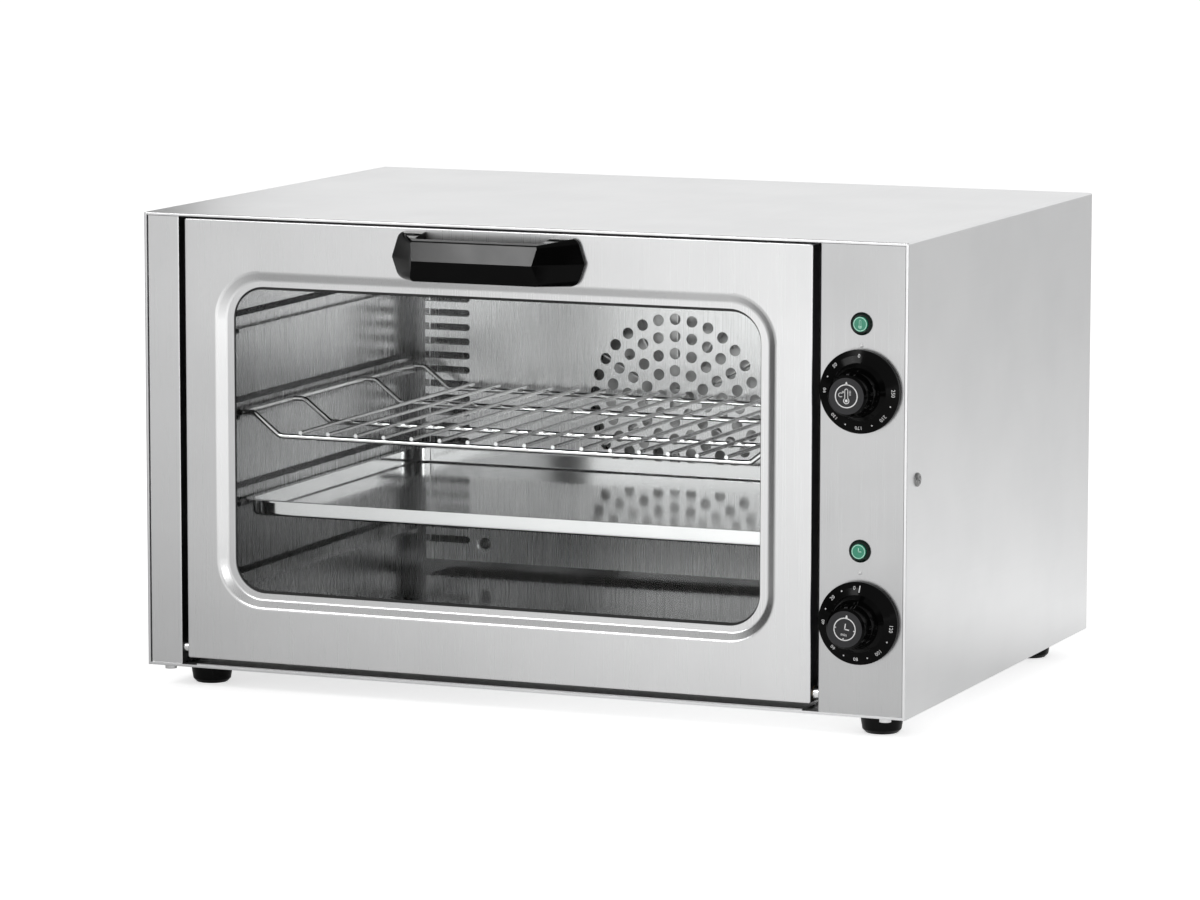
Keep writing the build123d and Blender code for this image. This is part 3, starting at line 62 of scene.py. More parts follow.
# Places shared with the CAD source, in its millimetres
DOOR_X = -18.85
DOOR_LEFT = -263.3
DOOR_RIGHT = 225.6
FASCIA_RIGHT = -268.6
PANEL_LEFT = 231.0
PANEL_Y = 1.2
CONTROL_X = 261.6
KNOB_Z = {"thermostat": 231.0, "timer": 67.5}
LAMP_Z = {"thermostat": 278.3, "timer": 118.2}
KNOB_FACE_Y = -29.4
KNOB_CAP_R = 13.0
LENS_FRONT_Y = PANEL_Y - 3.4
BAFFLE_SCREW_X = 161.2
BAFFLE_SCREW_Y = 358.0
BAFFLE_SCREW_Z = (46.5, 283.5)
REAR_SCREW_Y = 422.4
REAR_SCREW_SIDE = 289.25
REAR_SCREW_LOW = 148.125
REAR_TOP_Z = 329.0
REAR_MIDDLE_Z = 168.0
REAR_CORNER_Z = 22.0
REAR_LOW_Z = 8.0
SIDE_SCREW_AT = (296.25, 21.8, 168.0)

# The knob skirt's front surface, as (radius, y)
SKIRT = ((29.5, -2.6), (25.5, -3.7), (20.5, -5.4), (17.6, -9.0))

# Printing, in millimetres
LABEL_R = 25.2
LABEL_SIZE = 3.6
DOT_R = 0.55
PRINT_LIFT = 0.08
LETTER_STEPS = 3
LETTER_SPACING = 1.05


# Materials

# Noise, as (scale along each axis, detail, roughness)
CLOUDS = ((11, 11, 11), 3.0, 0.5)
SKIN_CLOUDS = ((30, 30, 30), 3.0, 0.5)
SMEARS = ((6, 6, 6), 3.0, 0.5)
INK_SPOTS = ((900, 900, 900), 2.0, 0.5)
STAGE_SPOTS = ((3, 3, 3), 2.0, 0.5)
GRAIN = {"y": ((1900, 9, 1900), 3.0, 0.65), "z": ((1900, 1900, 9), 3.0, 0.65)}

# How deep each surface structure goes, in metres
GRAIN_DEPTH = 0.00001
SPOT_DEPTH = 0.00005
SKIN_DEPTH = 0.00003

INK_ROUGHNESS = 0.45
INK_SHADE = 0.8
PANE_TINT = (0.993, 0.995, 0.994, 1)
PANE_IOR = 1.15


def material(name):
    """A new material with one principled shader: (material, node tree, shader)."""
    made = bpy.data.materials.new(name)
    made.use_nodes = True
    tree = made.node_tree
    tree.nodes.clear()
    out = tree.nodes.new("ShaderNodeOutputMaterial")
    shader = tree.nodes.new("ShaderNodeBsdfPrincipled")
    tree.links.new(shader.outputs[0], out.inputs[0])
    return made, tree, shader


def scaled_noise(tree, scale, detail, roughness):
    """Noise over the object's own coordinates, stretched by a scale for each axis."""
    place = tree.nodes.new("ShaderNodeTexCoord")
    stretch = tree.nodes.new("ShaderNodeMapping")
    stretch.inputs["Scale"].default_value = scale
    noise = tree.nodes.new("ShaderNodeTexNoise")
    noise.inputs["Scale"].default_value = 1.0
    noise.inputs["Detail"].default_value = detail
    noise.inputs["Roughness"].default_value = roughness
    tree.links.new(place.outputs["Object"], stretch.inputs[0])
    tree.links.new(stretch.outputs[0], noise.inputs["Vector"])
    return noise.outputs["Fac"]


def ranged(tree, value, low, high, start=0.3, end=0.7):
    """A value brought from start..end into low..high; noise mostly lies in 0.3..0.7."""
    node = tree.nodes.new("ShaderNodeMapRange")
    node.inputs["From Min"].default_value = start
    node.inputs["From Max"].default_value = end
    node.inputs["To Min"].default_value = low
    node.inputs["To Max"].default_value = high
    tree.links.new(value, node.inputs["Value"])
    return node.outputs[0]


def two_tone(tree, value, dark, light, start=0.35, end=0.65):
    """A colour between two others, by a value."""
    ramp = tree.nodes.new("ShaderNodeValToRGB")
    ramp.color_ramp.elements[0].position = start
    ramp.color_ramp.elements[0].color = (*dark, 1)
    ramp.color_ramp.elements[1].position = end
    ramp.color_ramp.elements[1].color = (*light, 1)
    tree.links.new(value, ramp.inputs[0])
    return ramp.outputs[0]


def bumped(tree, shader, value, strength, distance):
    """Height from a value."""
    node = tree.nodes.new("ShaderNodeBump")
    node.inputs["Strength"].default_value = strength
    node.inputs["Distance"].default_value = distance
    tree.links.new(value, node.inputs["Height"])
    tree.links.new(node.outputs[0], shader.inputs["Normal"])


def brushed(name, axis, dark, light, rough_low, rough_high, bump=0.03, edge=1.0):
    """Brushed sheet steel: fine lines along one axis, faint broad clouds; edge tints grazing light."""
    made, tree, shader = material(name)
    lines = scaled_noise(tree, *GRAIN[axis])
    clouds = scaled_noise(tree, *CLOUDS)
    tree.links.new(two_tone(tree, clouds, dark, light), shader.inputs["Base Color"])
    tree.links.new(ranged(tree, lines, rough_low, rough_high), shader.inputs["Roughness"])
    bumped(tree, shader, lines, bump, GRAIN_DEPTH)
    shader.inputs["Metallic"].default_value = 1.0
    shader.inputs["Specular Tint"].default_value = (edge, edge, edge, 1)
    return made


def plain_metal(name, dark, light, rough_low, rough_high, scale=60, bump=0.1):
    """Bare metal without a grain."""
    made, tree, shader = material(name)
    spots = scaled_noise(tree, (scale, scale, scale), 5.0, 0.6)
    tree.links.new(two_tone(tree, spots, dark, light), shader.inputs["Base Color"])
    tree.links.new(ranged(tree, spots, rough_low, rough_high), shader.inputs["Roughness"])
    bumped(tree, shader, spots, bump, SPOT_DEPTH)
    shader.inputs["Metallic"].default_value = 1.0
    return made


def moulded(name, dark, light, rough_low, rough_high, scale=400, bump=0.15, ior=1.45):
    """Moulded plastic or rubber with a faint surface grain."""
    made, tree, shader = material(name)
    grain = scaled_noise(tree, (scale, scale, scale), 4.0, 0.6)
    clouds = scaled_noise(tree, *SKIN_CLOUDS)
    tree.links.new(two_tone(tree, clouds, dark, light), shader.inputs["Base Color"])
    tree.links.new(ranged(tree, clouds, rough_low, rough_high), shader.inputs["Roughness"])
    bumped(tree, shader, grain, bump, SKIN_DEPTH)
    shader.inputs["IOR"].default_value = ior
    return made


def pane(name):
    """Clear glass that lets the light through, mirrors a little and carries faint smears."""
    made = bpy.data.materials.new(name)
    made.use_nodes = True
    tree = made.node_tree
    tree.nodes.clear()
    out = tree.nodes.new("ShaderNodeOutputMaterial")
    clear = tree.nodes.new("ShaderNodeBsdfTransparent")
    clear.inputs["Color"].default_value = PANE_TINT
    gloss = tree.nodes.new("ShaderNodeBsdfGlossy")
    mix = tree.nodes.new("ShaderNodeMixShader")
    fresnel = tree.nodes.new("ShaderNodeFresnel")
    fresnel.inputs["IOR"].default_value = PANE_IOR
    smear = scaled_noise(tree, *SMEARS)
    tree.links.new(ranged(tree, smear, 0.01, 0.05), gloss.inputs["Roughness"])
    tree.links.new(fresnel.outputs[0], mix.inputs[0])
    tree.links.new(clear.outputs[0], mix.inputs[1])
    tree.links.new(gloss.outputs[0], mix.inputs[2])
    tree.links.new(mix.outputs[0], out.inputs[0])
    return made


def printed(name, colour):
    """Printing ink."""
    made, tree, shader = material(name)
    spots = scaled_noise(tree, *INK_SPOTS)
    dark = tuple(INK_SHADE * c for c in colour)
    tree.links.new(two_tone(tree, spots, dark, colour), shader.inputs["Base Color"])
    shader.inputs["Roughness"].default_value = INK_ROUGHNESS
    return made


def grey(value, cool=0.0):
    """A grey; cool adds a step to its green and two to its blue."""
    return value, value + cool, value + 2 * cool


# Each look: its name, the axis of its grain if it is brushed, its darkest and lightest tone, and its
# lowest and highest roughness
front_steel = brushed("front_steel", "z", grey(0.69, 0.002), grey(0.73, 0.002), 0.26, 0.34)
fascia_steel = brushed("fascia_steel", "z", grey(0.69, 0.002), grey(0.72, 0.002), 0.26, 0.36)
# The control strip and the door sill get a darker copy of the front steel: painted shade.
strip_with_painted_shade = brushed("strip_with_painted_shade", "z", grey(0.5, 0.002), grey(0.54, 0.002), 0.26, 0.36)
case_steel = brushed("case_steel", "y", grey(0.78, 0.004), grey(0.82, 0.003), 0.28, 0.36)
# A near-black steel for the door's end faces and the folds beside the door: painted shade for the dark gaps
# round the door.
gap_shade_steel = brushed("gap_shade_steel", "z", grey(0.06), grey(0.1), 0.4, 0.5)
cavity_steel = brushed("cavity_steel", "z", (0.49, 0.49, 0.493), (0.56, 0.56, 0.563), 0.22, 0.3)
# The cavity floor gets a darker copy of the cavity steel: its darker tone is painted shade.
cavity_floor_painted_shade = brushed("cavity_floor_painted_shade", "y", (0.28, 0.28, 0.282), (0.33, 0.33, 0.332), 0.08, 0.16,
                      edge=0.76)
# The fan baffle gets a much lighter copy of the cavity steel: painted light.
baffle_painted_light = brushed("baffle_painted_light", "z", (0.9, 0.9, 0.905), (0.96, 0.96, 0.965), 0.2, 0.3)
bright_steel = plain_metal("bright_steel", grey(0.72), grey(0.82), 0.12, 0.22)
# The baffle and side screws get a darker copy of the bright steel: painted shade.
screws_painted_shade = plain_metal("screws_painted_shade", grey(0.22), grey(0.34), 0.12, 0.2)
wire_chrome = plain_metal("wire_chrome", grey(0.88), grey(0.94), 0.06, 0.12)
tray_sheet = plain_metal("tray_sheet", grey(0.93, 0.003), grey(0.96, 0.003), 0.07, 0.13,
                         scale=25, bump=0.02)
fan_sheet = plain_metal("fan_sheet", grey(0.6), grey(0.75), 0.25, 0.4)
heater_sheath = plain_metal("heater_sheath", (0.16, 0.15, 0.14), (0.28, 0.27, 0.26), 0.35, 0.5,
                            scale=120)
bush_brass = plain_metal("bush_brass", (0.55, 0.4, 0.18), (0.7, 0.52, 0.26), 0.25, 0.4)
gloss_black = moulded("gloss_black", grey(0.001), grey(0.002), 0.08, 0.13, ior=1.16)
cap_black = moulded("cap_black", (0.035, 0.035, 0.037), (0.045, 0.045, 0.047), 0.5, 0.6, ior=1.25)
foot_rubber = moulded("foot_rubber", grey(0.002), grey(0.004), 0.25, 0.35, ior=1.22)
seal_rubber = moulded("seal_rubber", grey(0.01), grey(0.02), 0.5, 0.62)
lamp_black = moulded("lamp_black", (0.001, 0.006, 0.004), (0.002, 0.012, 0.007), 0.12, 0.2, ior=1.3)
lamp_green = moulded("lamp_green", (0.03, 0.25, 0.15), (0.05, 0.34, 0.21), 0.1, 0.18)
grey_plastic = moulded("grey_plastic", grey(0.05), grey(0.08), 0.45, 0.6)
motor_paint = moulded("motor_paint", (0.05, 0.052, 0.055), (0.08, 0.082, 0.085), 0.4, 0.5)
wool = moulded("wool", (0.45, 0.42, 0.32), (0.62, 0.59, 0.47), 0.85, 0.95, scale=500, bump=0.8)
pip_white = moulded("pip_white", grey(0.8), grey(0.88), 0.15, 0.22)
glass = pane("glass")
white_ink = printed("white_ink", grey(0.9))
mint_ink = printed("mint_ink", (0.55, 0.95, 0.78))

LOOKS = {
    front_steel: ["door_outer_skin"],
    fascia_steel: ["left_fascia"],
    strip_with_painted_shade: ["control_panel", "door_sill"],
    case_steel: ["casing_wrap", "base_pan", "rear_cover"],
    cavity_floor_painted_shade: ["cavity_wrap"],
    cavity_steel: ["cavity_front_frame", "cavity_side_left", "cavity_side_right",
                   "door_inner_skin", "door_glass_spacer", "motor_bracket", "hinge_bracket_left",
                   "hinge_bracket_right"],
    baffle_painted_light: ["fan_baffle"],
    bright_steel: ["rear_cover_screws", "foot_screws", "lip_screws", "casing_side_screws",
                   "baffle_screws", "handle_screws", "hinge_pin_left", "hinge_pin_right",
                   "motor_shaft", "thermostat_shaft", "timer_shaft"],
    pip_white: ["index_pips"],
    wire_chrome: ["wire_rack"],
    tray_sheet: ["baking_tray"],
    gloss_black: ["door_handle", "knob_thermostat", "knob_timer"],
    lamp_black: ["lamp_body_thermostat", "lamp_body_timer"],
    lamp_green: ["lamp_lens_thermostat", "lamp_lens_timer"],
    foot_rubber: ["foot_front_left", "foot_front_right", "foot_rear_left", "foot_rear_right"],
    seal_rubber: ["door_gasket", "door_glass_seal"],
    glass: ["door_outer_glass", "door_inner_glass"],
    fan_sheet: ["fan_wheel"],
    heater_sheath: ["heating_element"],
    motor_paint: ["fan_motor", "motor_end_cap"],
    wool: ["insulation_wrap", "insulation_floor", "insulation_rear"],
    grey_plastic: ["thermostat_body", "timer_body", "terminal_block", "cable_gland", "gland_nut"],
    bush_brass: ["hinge_bush_left", "hinge_bush_right"],
}
for look, names in LOOKS.items():
    for name in names:
        slots = NODES[name].data.materials
        slots.clear()
        slots.append(look)


# How squarely a face has to look sideways or forward, and how near its edge it may lie, in millimetres
SIDEWAYS = 0.9
FORWARD = 0.99
EDGE_REACH = 1.0


def second_look(name, look, wanted):
    """Another look for the faces that wanted(x, normal) picks; x is in building millimetres."""
    node = NODES[name]
    node.data.materials.append(look)
    turn = node.matrix_world
    for face in node.data.polygons:
        normal = (turn.to_3x3() @ face.normal).normalized()
        if wanted((turn @ face.center).x / MM, normal):
            face.material_index = 1


def door_end(x, normal):
    """The door skin's left and right end faces."""
    return abs(normal.x) > SIDEWAYS and (x < DOOR_LEFT + EDGE_REACH or x > DOOR_RIGHT - EDGE_REACH)


def fascia_return(x, normal):
    """The left fascia's fold towards the door."""
    return normal.x > SIDEWAYS and abs(x - FASCIA_RIGHT) < EDGE_REACH


def panel_return(x, normal):
    """The control strip's fold towards the door."""
    return normal.x < -SIDEWAYS and abs(x - PANEL_LEFT) < EDGE_REACH


def cap_face(x, normal):
    """The front face of a knob's cap."""
    return normal.y < -FORWARD and abs(x - CONTROL_X) < KNOB_CAP_R


# The door's end faces and the two folds towards the door get the near-black steel: painted shade in the
# gaps.
second_look("door_outer_skin", gap_shade_steel, door_end)
second_look("left_fascia", gap_shade_steel, fascia_return)
second_look("control_panel", gap_shade_steel, panel_return)
second_look("knob_thermostat", cap_black, cap_face)
second_look("knob_timer", cap_black, cap_face)


# Printing on the dials

def print_piece(name, polygons, placing, look, body):
    """A thin printed piece: flat outlines as (u, v) lists, brought into place by placing(u, v)."""
    mesh = bpy.data.meshes.new(name)
    bm = bmesh.new()
    for verts, faces in polygons:
        made = [bm.verts.new(placing(u, v)) for u, v in verts]
        for face in faces:
            bm.faces.new([made[i] for i in face])
    bm.to_mesh(mesh)
    bm.free()
    piece = bpy.data.objects.new(name, mesh)
    bpy.context.scene.collection.objects.link(piece)
    piece.data.materials.append(look)
    thick = piece.modifiers.new("thick", "SOLIDIFY")
    thick.thickness = PRINT_LIFT * MM
    thick.offset = 0
    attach(piece, body)


def arc_band(radius, width, start=0.0, end=360.0, steps=48):
    """A ring or part of one, in degrees clockwise from the top."""
    verts = []
    for i in range(steps + 1):
        turn = math.radians(start + (end - start) * i / steps)
        for r in (radius - width / 2, radius + width / 2):
            verts.append((r * math.sin(turn), r * math.cos(turn)))
    faces = [(2 * i, 2 * i + 1, 2 * i + 3, 2 * i + 2) for i in range(steps)]
    return verts, faces


def disc(u, v, radius, steps=20):
    """A filled circle."""
    turns = [2 * math.pi * i / steps for i in range(steps)]
    verts = [(u + radius * math.sin(t), v + radius * math.cos(t)) for t in turns]
    return verts, [tuple(range(steps))]


def stroke(u0, v0, u1, v1, width):
    """A straight stroke."""
    length = math.hypot(u1 - u0, v1 - v0)
    du = (v1 - v0) / length * width / 2
    dv = -(u1 - u0) / length * width / 2
    return [(u0 - du, v0 - dv), (u1 - du, v1 - dv), (u1 + du, v1 + dv), (u0 + du, v0 + dv)], [(0, 1, 2, 3)]


def lettering(text, size, u=0.0, v=0.0):
    """Text as flat faces centred on a point."""
    curve = bpy.data.curves.new("lettering", "FONT")
    curve.body = text
    curve.size = size
    curve.align_x = "CENTER"
    curve.align_y = "CENTER"
    curve.resolution_u = LETTER_STEPS
    curve.space_character = LETTER_SPACING
    temp = bpy.data.objects.new("lettering", curve)
    bpy.context.scene.collection.objects.link(temp)
    bpy.context.view_layer.update()
    mesh = bpy.data.meshes.new_from_object(temp)
    verts = [(u + p.co.x, v + p.co.y) for p in mesh.vertices]
    faces = [tuple(f.vertices) for f in mesh.polygons]
    bpy.data.objects.remove(temp)
    bpy.data.meshes.remove(mesh)
    return verts, faces


def turned(polygon, angle):
    """An outline turned clockwise."""
    verts, faces = polygon
    c = math.cos(math.radians(angle))
    s = math.sin(math.radians(angle))
    return [(u * c + v * s, -u * s + v * c) for u, v in verts], faces


def skirt_y(radius):
    """The knob skirt's front surface at a radius."""
    for (r0, y0), (r1, y1) in zip(SKIRT, SKIRT[1:]):
        if r1 <= radius <= r0:
            return y0 + (y1 - y0) * (radius - r0) / (r1 - r0)
    return SKIRT[0][1]


def on_skirt(centre_z):
    """Places (u, v), v outward from the knob's middle, on the skirt."""
    def placing(u, v):
        radius = math.hypot(u, v)
        return at(CONTROL_X + u, skirt_y(radius) - PRINT_LIFT, centre_z + v)
    return placing


def on_flat(centre_z, y):
    """Places (u, v) on a flat face that looks forward."""
    def placing(u, v):
        return at(CONTROL_X + u, y - PRINT_LIFT, centre_z + v)
    return placing


def dial_marks(labels, dots):
    """Numbers and dots round a dial, at angles clockwise from the top."""
    marks = []
    for text, angle in labels:
        marks.append(turned(lettering(text, LABEL_SIZE, 0, LABEL_R), angle))
    for angle in dots:
        marks.append(turned(disc(0, LABEL_R, DOT_R), angle))
    return marks


# Numbers as (text, angle) and dots as angles, in degrees clockwise from the top
THERMOSTAT_LABELS = (("0", 0), ("50", -45), ("90", -90), ("130", -135), ("170", 180), ("210", 135),
                     ("250", 90))
THERMOSTAT_DOTS = (-67, -157, 157, 112)
TIMER_LABELS = (("0", -5), ("20", -47), ("40", -91), ("60", -135), ("80", 182), ("100", 141),
                ("120", 95))
TIMER_DOTS = (-27.5, -69, -157, 162, 118)
TIMER_LINE = (22.3, 27.0)
TIMER_LINE_W = 0.7
TIMER_LINE_ANGLE = 4
TIMER_ICON_TURN = 9
RING_R = 8.0
RING_W = 0.75
LAMP_RING_R = 4.7
LAMP_RING_W = 0.55


# Drawings on dials, caps and lenses, in millimetres from their middle

def moved(polygon, du, dv):
    """An outline moved."""
    verts, faces = polygon
    return [(u + du, v + dv) for u, v in verts], faces


def pointer():
    """The small mark on top of the cap's ring."""
    tip = RING_R + 2.0
    return [(-1.0, RING_R), (1.0, RING_R), (0.35, tip), (-0.35, tip)], [(0, 1, 2, 3)]


def thermometer(scale):
    """A thermometer outline with a filled bulb."""
    half = 1.15 * scale
    low = -1.6 * scale
    high = 4.2 * scale
    bulb = -3.4 * scale
    line = 0.5 * scale
    return [
        stroke(-half, low, -half, high, line),
        stroke(half, low, half, high, line),
        moved(arc_band(half, line, -90, 90, 12), 0, high),
        moved(arc_band(2.1 * scale, 0.6 * scale, 33, 327, 24), 0, bulb),
        disc(0, bulb, 1.1 * scale),
    ]


def hands(up, across, tail, width):
    """A clock's two hands."""
    return [stroke(0, -tail, 0, up, width), stroke(-tail, 0, across, 0, width)]


def thermostat_icon():
    """Ring and pointer, a thermometer, a C with its degree ring, and four scale lines."""
    icon = [arc_band(RING_R, RING_W), pointer()] + thermometer(0.95)
    icon += [lettering("C", 4.6, -4.5, 0.6), moved(arc_band(0.6, 0.35, 0, 360, 12), -2.4, 2.9)]
    icon += [stroke(2.1, 1.0 + 0.9 * n, 3.4, 1.0 + 0.9 * n, 0.35) for n in range(4)]
    return icon


def timer_icon():
    """Ring and pointer, a clock face and the short word for minutes, turned with the knob."""
    icon = [arc_band(RING_R * 0.98, RING_W), pointer()]
    icon += [turned(stroke(0, 6.4, 0, 7.8, 0.8), angle) for angle in (90, 180, 270)]
    icon += hands(4.0, 3.4, 0.3, 0.75)
    icon += [lettering("min", 3.0, 0, -3.9)]
    return [turned(outline, TIMER_ICON_TURN) for outline in icon]


timer_line = turned(stroke(0, TIMER_LINE[0], 0, TIMER_LINE[1], TIMER_LINE_W), TIMER_LINE_ANGLE)
CONTROLS = {
    "thermostat": (dial_marks(THERMOSTAT_LABELS, THERMOSTAT_DOTS), thermostat_icon(), thermometer(0.55)),
    "timer": (dial_marks(TIMER_LABELS, TIMER_DOTS) + [timer_line], timer_icon(), hands(2.6, 2.2, 0.2, 0.6)),
}
for name, (marks, icon, lamp_icon) in CONTROLS.items():
    body = name + "_control"
    print_piece(name + "_dial_print", marks, on_skirt(KNOB_Z[name]), white_ink, body)
    print_piece(name + "_cap_print", icon, on_flat(KNOB_Z[name], KNOB_FACE_Y), white_ink, body)
for name, (marks, icon, lamp_icon) in CONTROLS.items():
    lens_marks = [arc_band(LAMP_RING_R, LAMP_RING_W)] + lamp_icon
    print_piece(name + "_lamp_print", lens_marks, on_flat(LAMP_Z[name], LENS_FRONT_Y), mint_ink,
                "casing")


# Screws with a cross recess

# A screw's head, in shares of its radius and of its height
RIM_HEIGHT = 0.4
DOME_R = 0.86
DOME_HEIGHT = 0.8
TOP_R = 0.66
RECESS_MOUTH = (0.55, 0.13)
RECESS_BOTTOM = (0.42, 0.1)
RECESS_HEIGHT = 0.4
SCREW_STEPS = 24

# Each kind of screw: head radius and height, shank radius and length, in millimetres
BAFFLE_SCREW = (4.6, 2.4, 2.5, 30.0)
REAR_SCREW = (3.6, 2.0, 1.8, 8.0)
SIDE_SCREW = (5.0, 2.0, 2.0, 9.0)


def cross(arm, half):
    """The outline of a cross, as (u, v) points."""
    points = []
    for c, s in ((1, 0), (0, 1), (-1, 0), (0, -1)):
        for u, v in ((arm, -half), (arm, half), (half, half)):
            points.append((u * c - v * s, u * s + v * c))
    return points


def screw(bm, placing, size):
    """One screw: a domed head with a cross recess and a plain shank; placing takes (u, v, out)."""
    head_r, head, shank_r, shank = size
    turns = [2 * math.pi * i / SCREW_STEPS for i in range(SCREW_STEPS)]

    def ring(points, out):
        return [bm.verts.new(placing(u, v, out)) for u, v in points]

    def circle(radius, out):
        return ring([(radius * math.cos(t), radius * math.sin(t)) for t in turns], out)

    def recess(shares, out):
        return ring(cross(shares[0] * head_r, shares[1] * head_r), out)

    def join(first, second):
        for i in range(len(first)):
            k = (i + 1) % len(first)
            bm.faces.new((first[i], first[k], second[k], second[i]))

    def loop(ring_verts):
        edges = []
        for i, vert in enumerate(ring_verts):
            pair = (vert, ring_verts[(i + 1) % len(ring_verts)])
            edges.append(bm.edges.get(pair) or bm.edges.new(pair))
        return edges

    low = circle(head_r, 0)
    rim = circle(head_r, RIM_HEIGHT * head)
    dome = circle(DOME_R * head_r, DOME_HEIGHT * head)
    top = circle(TOP_R * head_r, head)
    bm.faces.new(low)
    join(low, rim)
    join(rim, dome)
    join(dome, top)
    mouth = recess(RECESS_MOUTH, head)
    bottom = recess(RECESS_BOTTOM, RECESS_HEIGHT * head)
    join(mouth, bottom)
    bm.faces.new(bottom)
    bmesh.ops.triangle_fill(bm, edges=loop(top) + loop(mouth))
    start = circle(shank_r, 0)
    end = circle(shank_r, -shank)
    join(start, end)
    bm.faces.new(start)
    bm.faces.new(end)


def screw_piece(name, placings, size, look):
    """The screws of one node, in its place."""
    mesh = bpy.data.meshes.new(name)
    bm = bmesh.new()
    for placing in placings:
        screw(bm, placing, size)
    bmesh.ops.recalc_face_normals(bm, faces=bm.faces)
    bm.to_mesh(mesh)
    bm.free()
    piece = bpy.data.objects.new("crossed_" + name, mesh)
    bpy.context.scene.collection.objects.link(piece)
    piece.data.materials.append(look)
    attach(piece, "casing")
    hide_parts(name)


def facing_front(x, y, z):
    """Places (u, v, out) round a point of a face that looks forward."""
    return lambda u, v, out: at(x + u, y - out, z + v)


def facing_rear(x, y, z):
    """Places (u, v, out) round a point of a face that looks to the rear."""
    return lambda u, v, out: at(x + u, y + out, z + v)


def facing_side(side, x, y, z):
    """Places (u, v, out) round a point of the left (-1) or right (1) side."""
    return lambda u, v, out: at(side * (x + out), y + u, z + v)


baffle_places = [(DOOR_X + side * BAFFLE_SCREW_X, z) for side in (-1, 1) for z in BAFFLE_SCREW_Z]
rear_places = [(x, REAR_TOP_Z) for x in (-REAR_SCREW_SIDE, 0.0, REAR_SCREW_SIDE)]
rear_places += [(-REAR_SCREW_SIDE, REAR_MIDDLE_Z), (REAR_SCREW_SIDE, REAR_MIDDLE_Z)]
# The other lower corner holds the cable gland
rear_places += [(-REAR_SCREW_SIDE, REAR_CORNER_Z)]
rear_places += [(-REAR_SCREW_LOW, REAR_LOW_Z), (REAR_SCREW_LOW, REAR_LOW_Z)]
# The baffle and side screws carry painted shade in their darker steel.
screw_piece("baffle_screws", [facing_front(x, BAFFLE_SCREW_Y, z) for x, z in baffle_places],
            BAFFLE_SCREW, screws_painted_shade)
screw_piece("rear_cover_screws", [facing_rear(x, REAR_SCREW_Y, z) for x, z in rear_places],
            REAR_SCREW, bright_steel)
screw_piece("casing_side_screws", [facing_side(side, *SIDE_SCREW_AT) for side in (-1, 1)],
            SIDE_SCREW, screws_painted_shade)


# Camera

def look_from(name):
    """The photograph's camera."""
    forward = Vector((-math.sin(CAMERA_YAW) * math.cos(CAMERA_PITCH),
                      math.cos(CAMERA_YAW) * math.cos(CAMERA_PITCH), -math.sin(CAMERA_PITCH)))
    right = forward.cross(Vector((0, 0, 1))).normalized()
    up = right.cross(forward)
    c = math.cos(CAMERA_ROLL)
    s = math.sin(CAMERA_ROLL)
    right, up = c * right + s * up, c * up - s * right
    data = bpy.data.cameras.new(name)
    data.sensor_width = CAMERA_SENSOR
    data.lens = CAMERA_LENS
    data.clip_start = CAMERA_NEAR
    data.clip_end = CAMERA_FAR
    camera = bpy.data.objects.new(name, data)
    bpy.context.scene.collection.objects.link(camera)
    turn = Matrix((right, up, -forward)).transposed()
    camera.matrix_world = Matrix.Translation(at(*CAMERA_AT)) @ turn.to_4x4()
    bpy.context.scene.camera = camera


look_from("camera")


# Floor, world and lamps

# Ramps along one axis, each as (value at the start, value at the end, start, end)
WORLD_LEFT_X = (0.04, 1.0, -0.95, -0.45)
WORLD_FRONT_Y = (0.8, 1.0, -0.3, 0.3)
WORLD_RIGHT_X = (1.0, 0.15, 0.8, 0.92)
WORLD_HEIGHT_Z = (1.28, 0.6, 0.25, 0.95)
DARK_LEFT_X = (0.5, 0.0, -1.0, -0.4)
DARK_LEFT_Y = (0.0, 1.0, -1.4, -0.6)
DARK_RIGHT_X = (0.0, 0.5, 1.0, 1.4)
DARK_RIGHT_NEAR_Y = (0.0, 1.0, -1.0, -0.7)
DARK_RIGHT_FAR_Y = (1.0, 0.0, 0.2, 0.6)
KEPT_BY_DARK = (0.55, 0.04, 0, 0.5)
GLOW_KEPT_BESIDE = (1.0, 0.05, 0, 0.5)
GLOW_FRONT_Y = (1.5, 0.8, -2.8, -1.1)
GLOW_FADE_Y = (1.0, 0.1, -0.8, 0.8)
GLOW_SLANT_Y = (1.16, 0.0, -3.05, -0.24)
GLOW_EDGE = (0.3, 0.93, -0.3, 0.15)
BACK_GLOW_Y = (0.54, 0.2, 0.4, 2.6)
BACK_GLOW_START_Y = (0.0, 1.0, 0.1, 0.4)
BACK_GLOW_X = (0.0, 1.0, 0.15, 0.35)
ZERO_TO_ONE = (0, 1)
FLOOR_HALF = 16.0
FLOOR_SEEN = 0.62
FLOOR_TONE = (0.84, 0.86)
MATT = 0.9
CARD_X = -1.45
CARD_Y = (-0.7, 2.2)
CARD_Z = (0.01, 1.2)
WHITE = (1, 1, 1, 1)

# Each lamp: name, place, what it faces, width, height, watts
LAMPS = (
    ("key", (-1.2, -2.6, 1.75), (0, -0.2, 0.25), 1.2, 0.7, 18),
    ("fill", (1.9, -2.2, 0.9), (0, -0.2, 0.2), 0.5, 1.2, 5),
    ("spark", (-1.05, -2.3, 1.7), (0, -0.1, 0.2), 0.2, 0.2, 4),
)


def combined(tree, operation, first, second):
    """Two values through one step of arithmetic."""
    node = tree.nodes.new("ShaderNodeMath")
    node.operation = operation
    tree.links.new(first, node.inputs[0])
    tree.links.new(second, node.inputs[1])
    return node.outputs[0]


def times(tree, *values):
    """The product of some values."""
    result = values[0]
    for value in values[1:]:
        result = combined(tree, "MULTIPLY", result, value)
    return result


def plus(tree, first, second):
    """The sum of two values."""
    return combined(tree, "ADD", first, second)


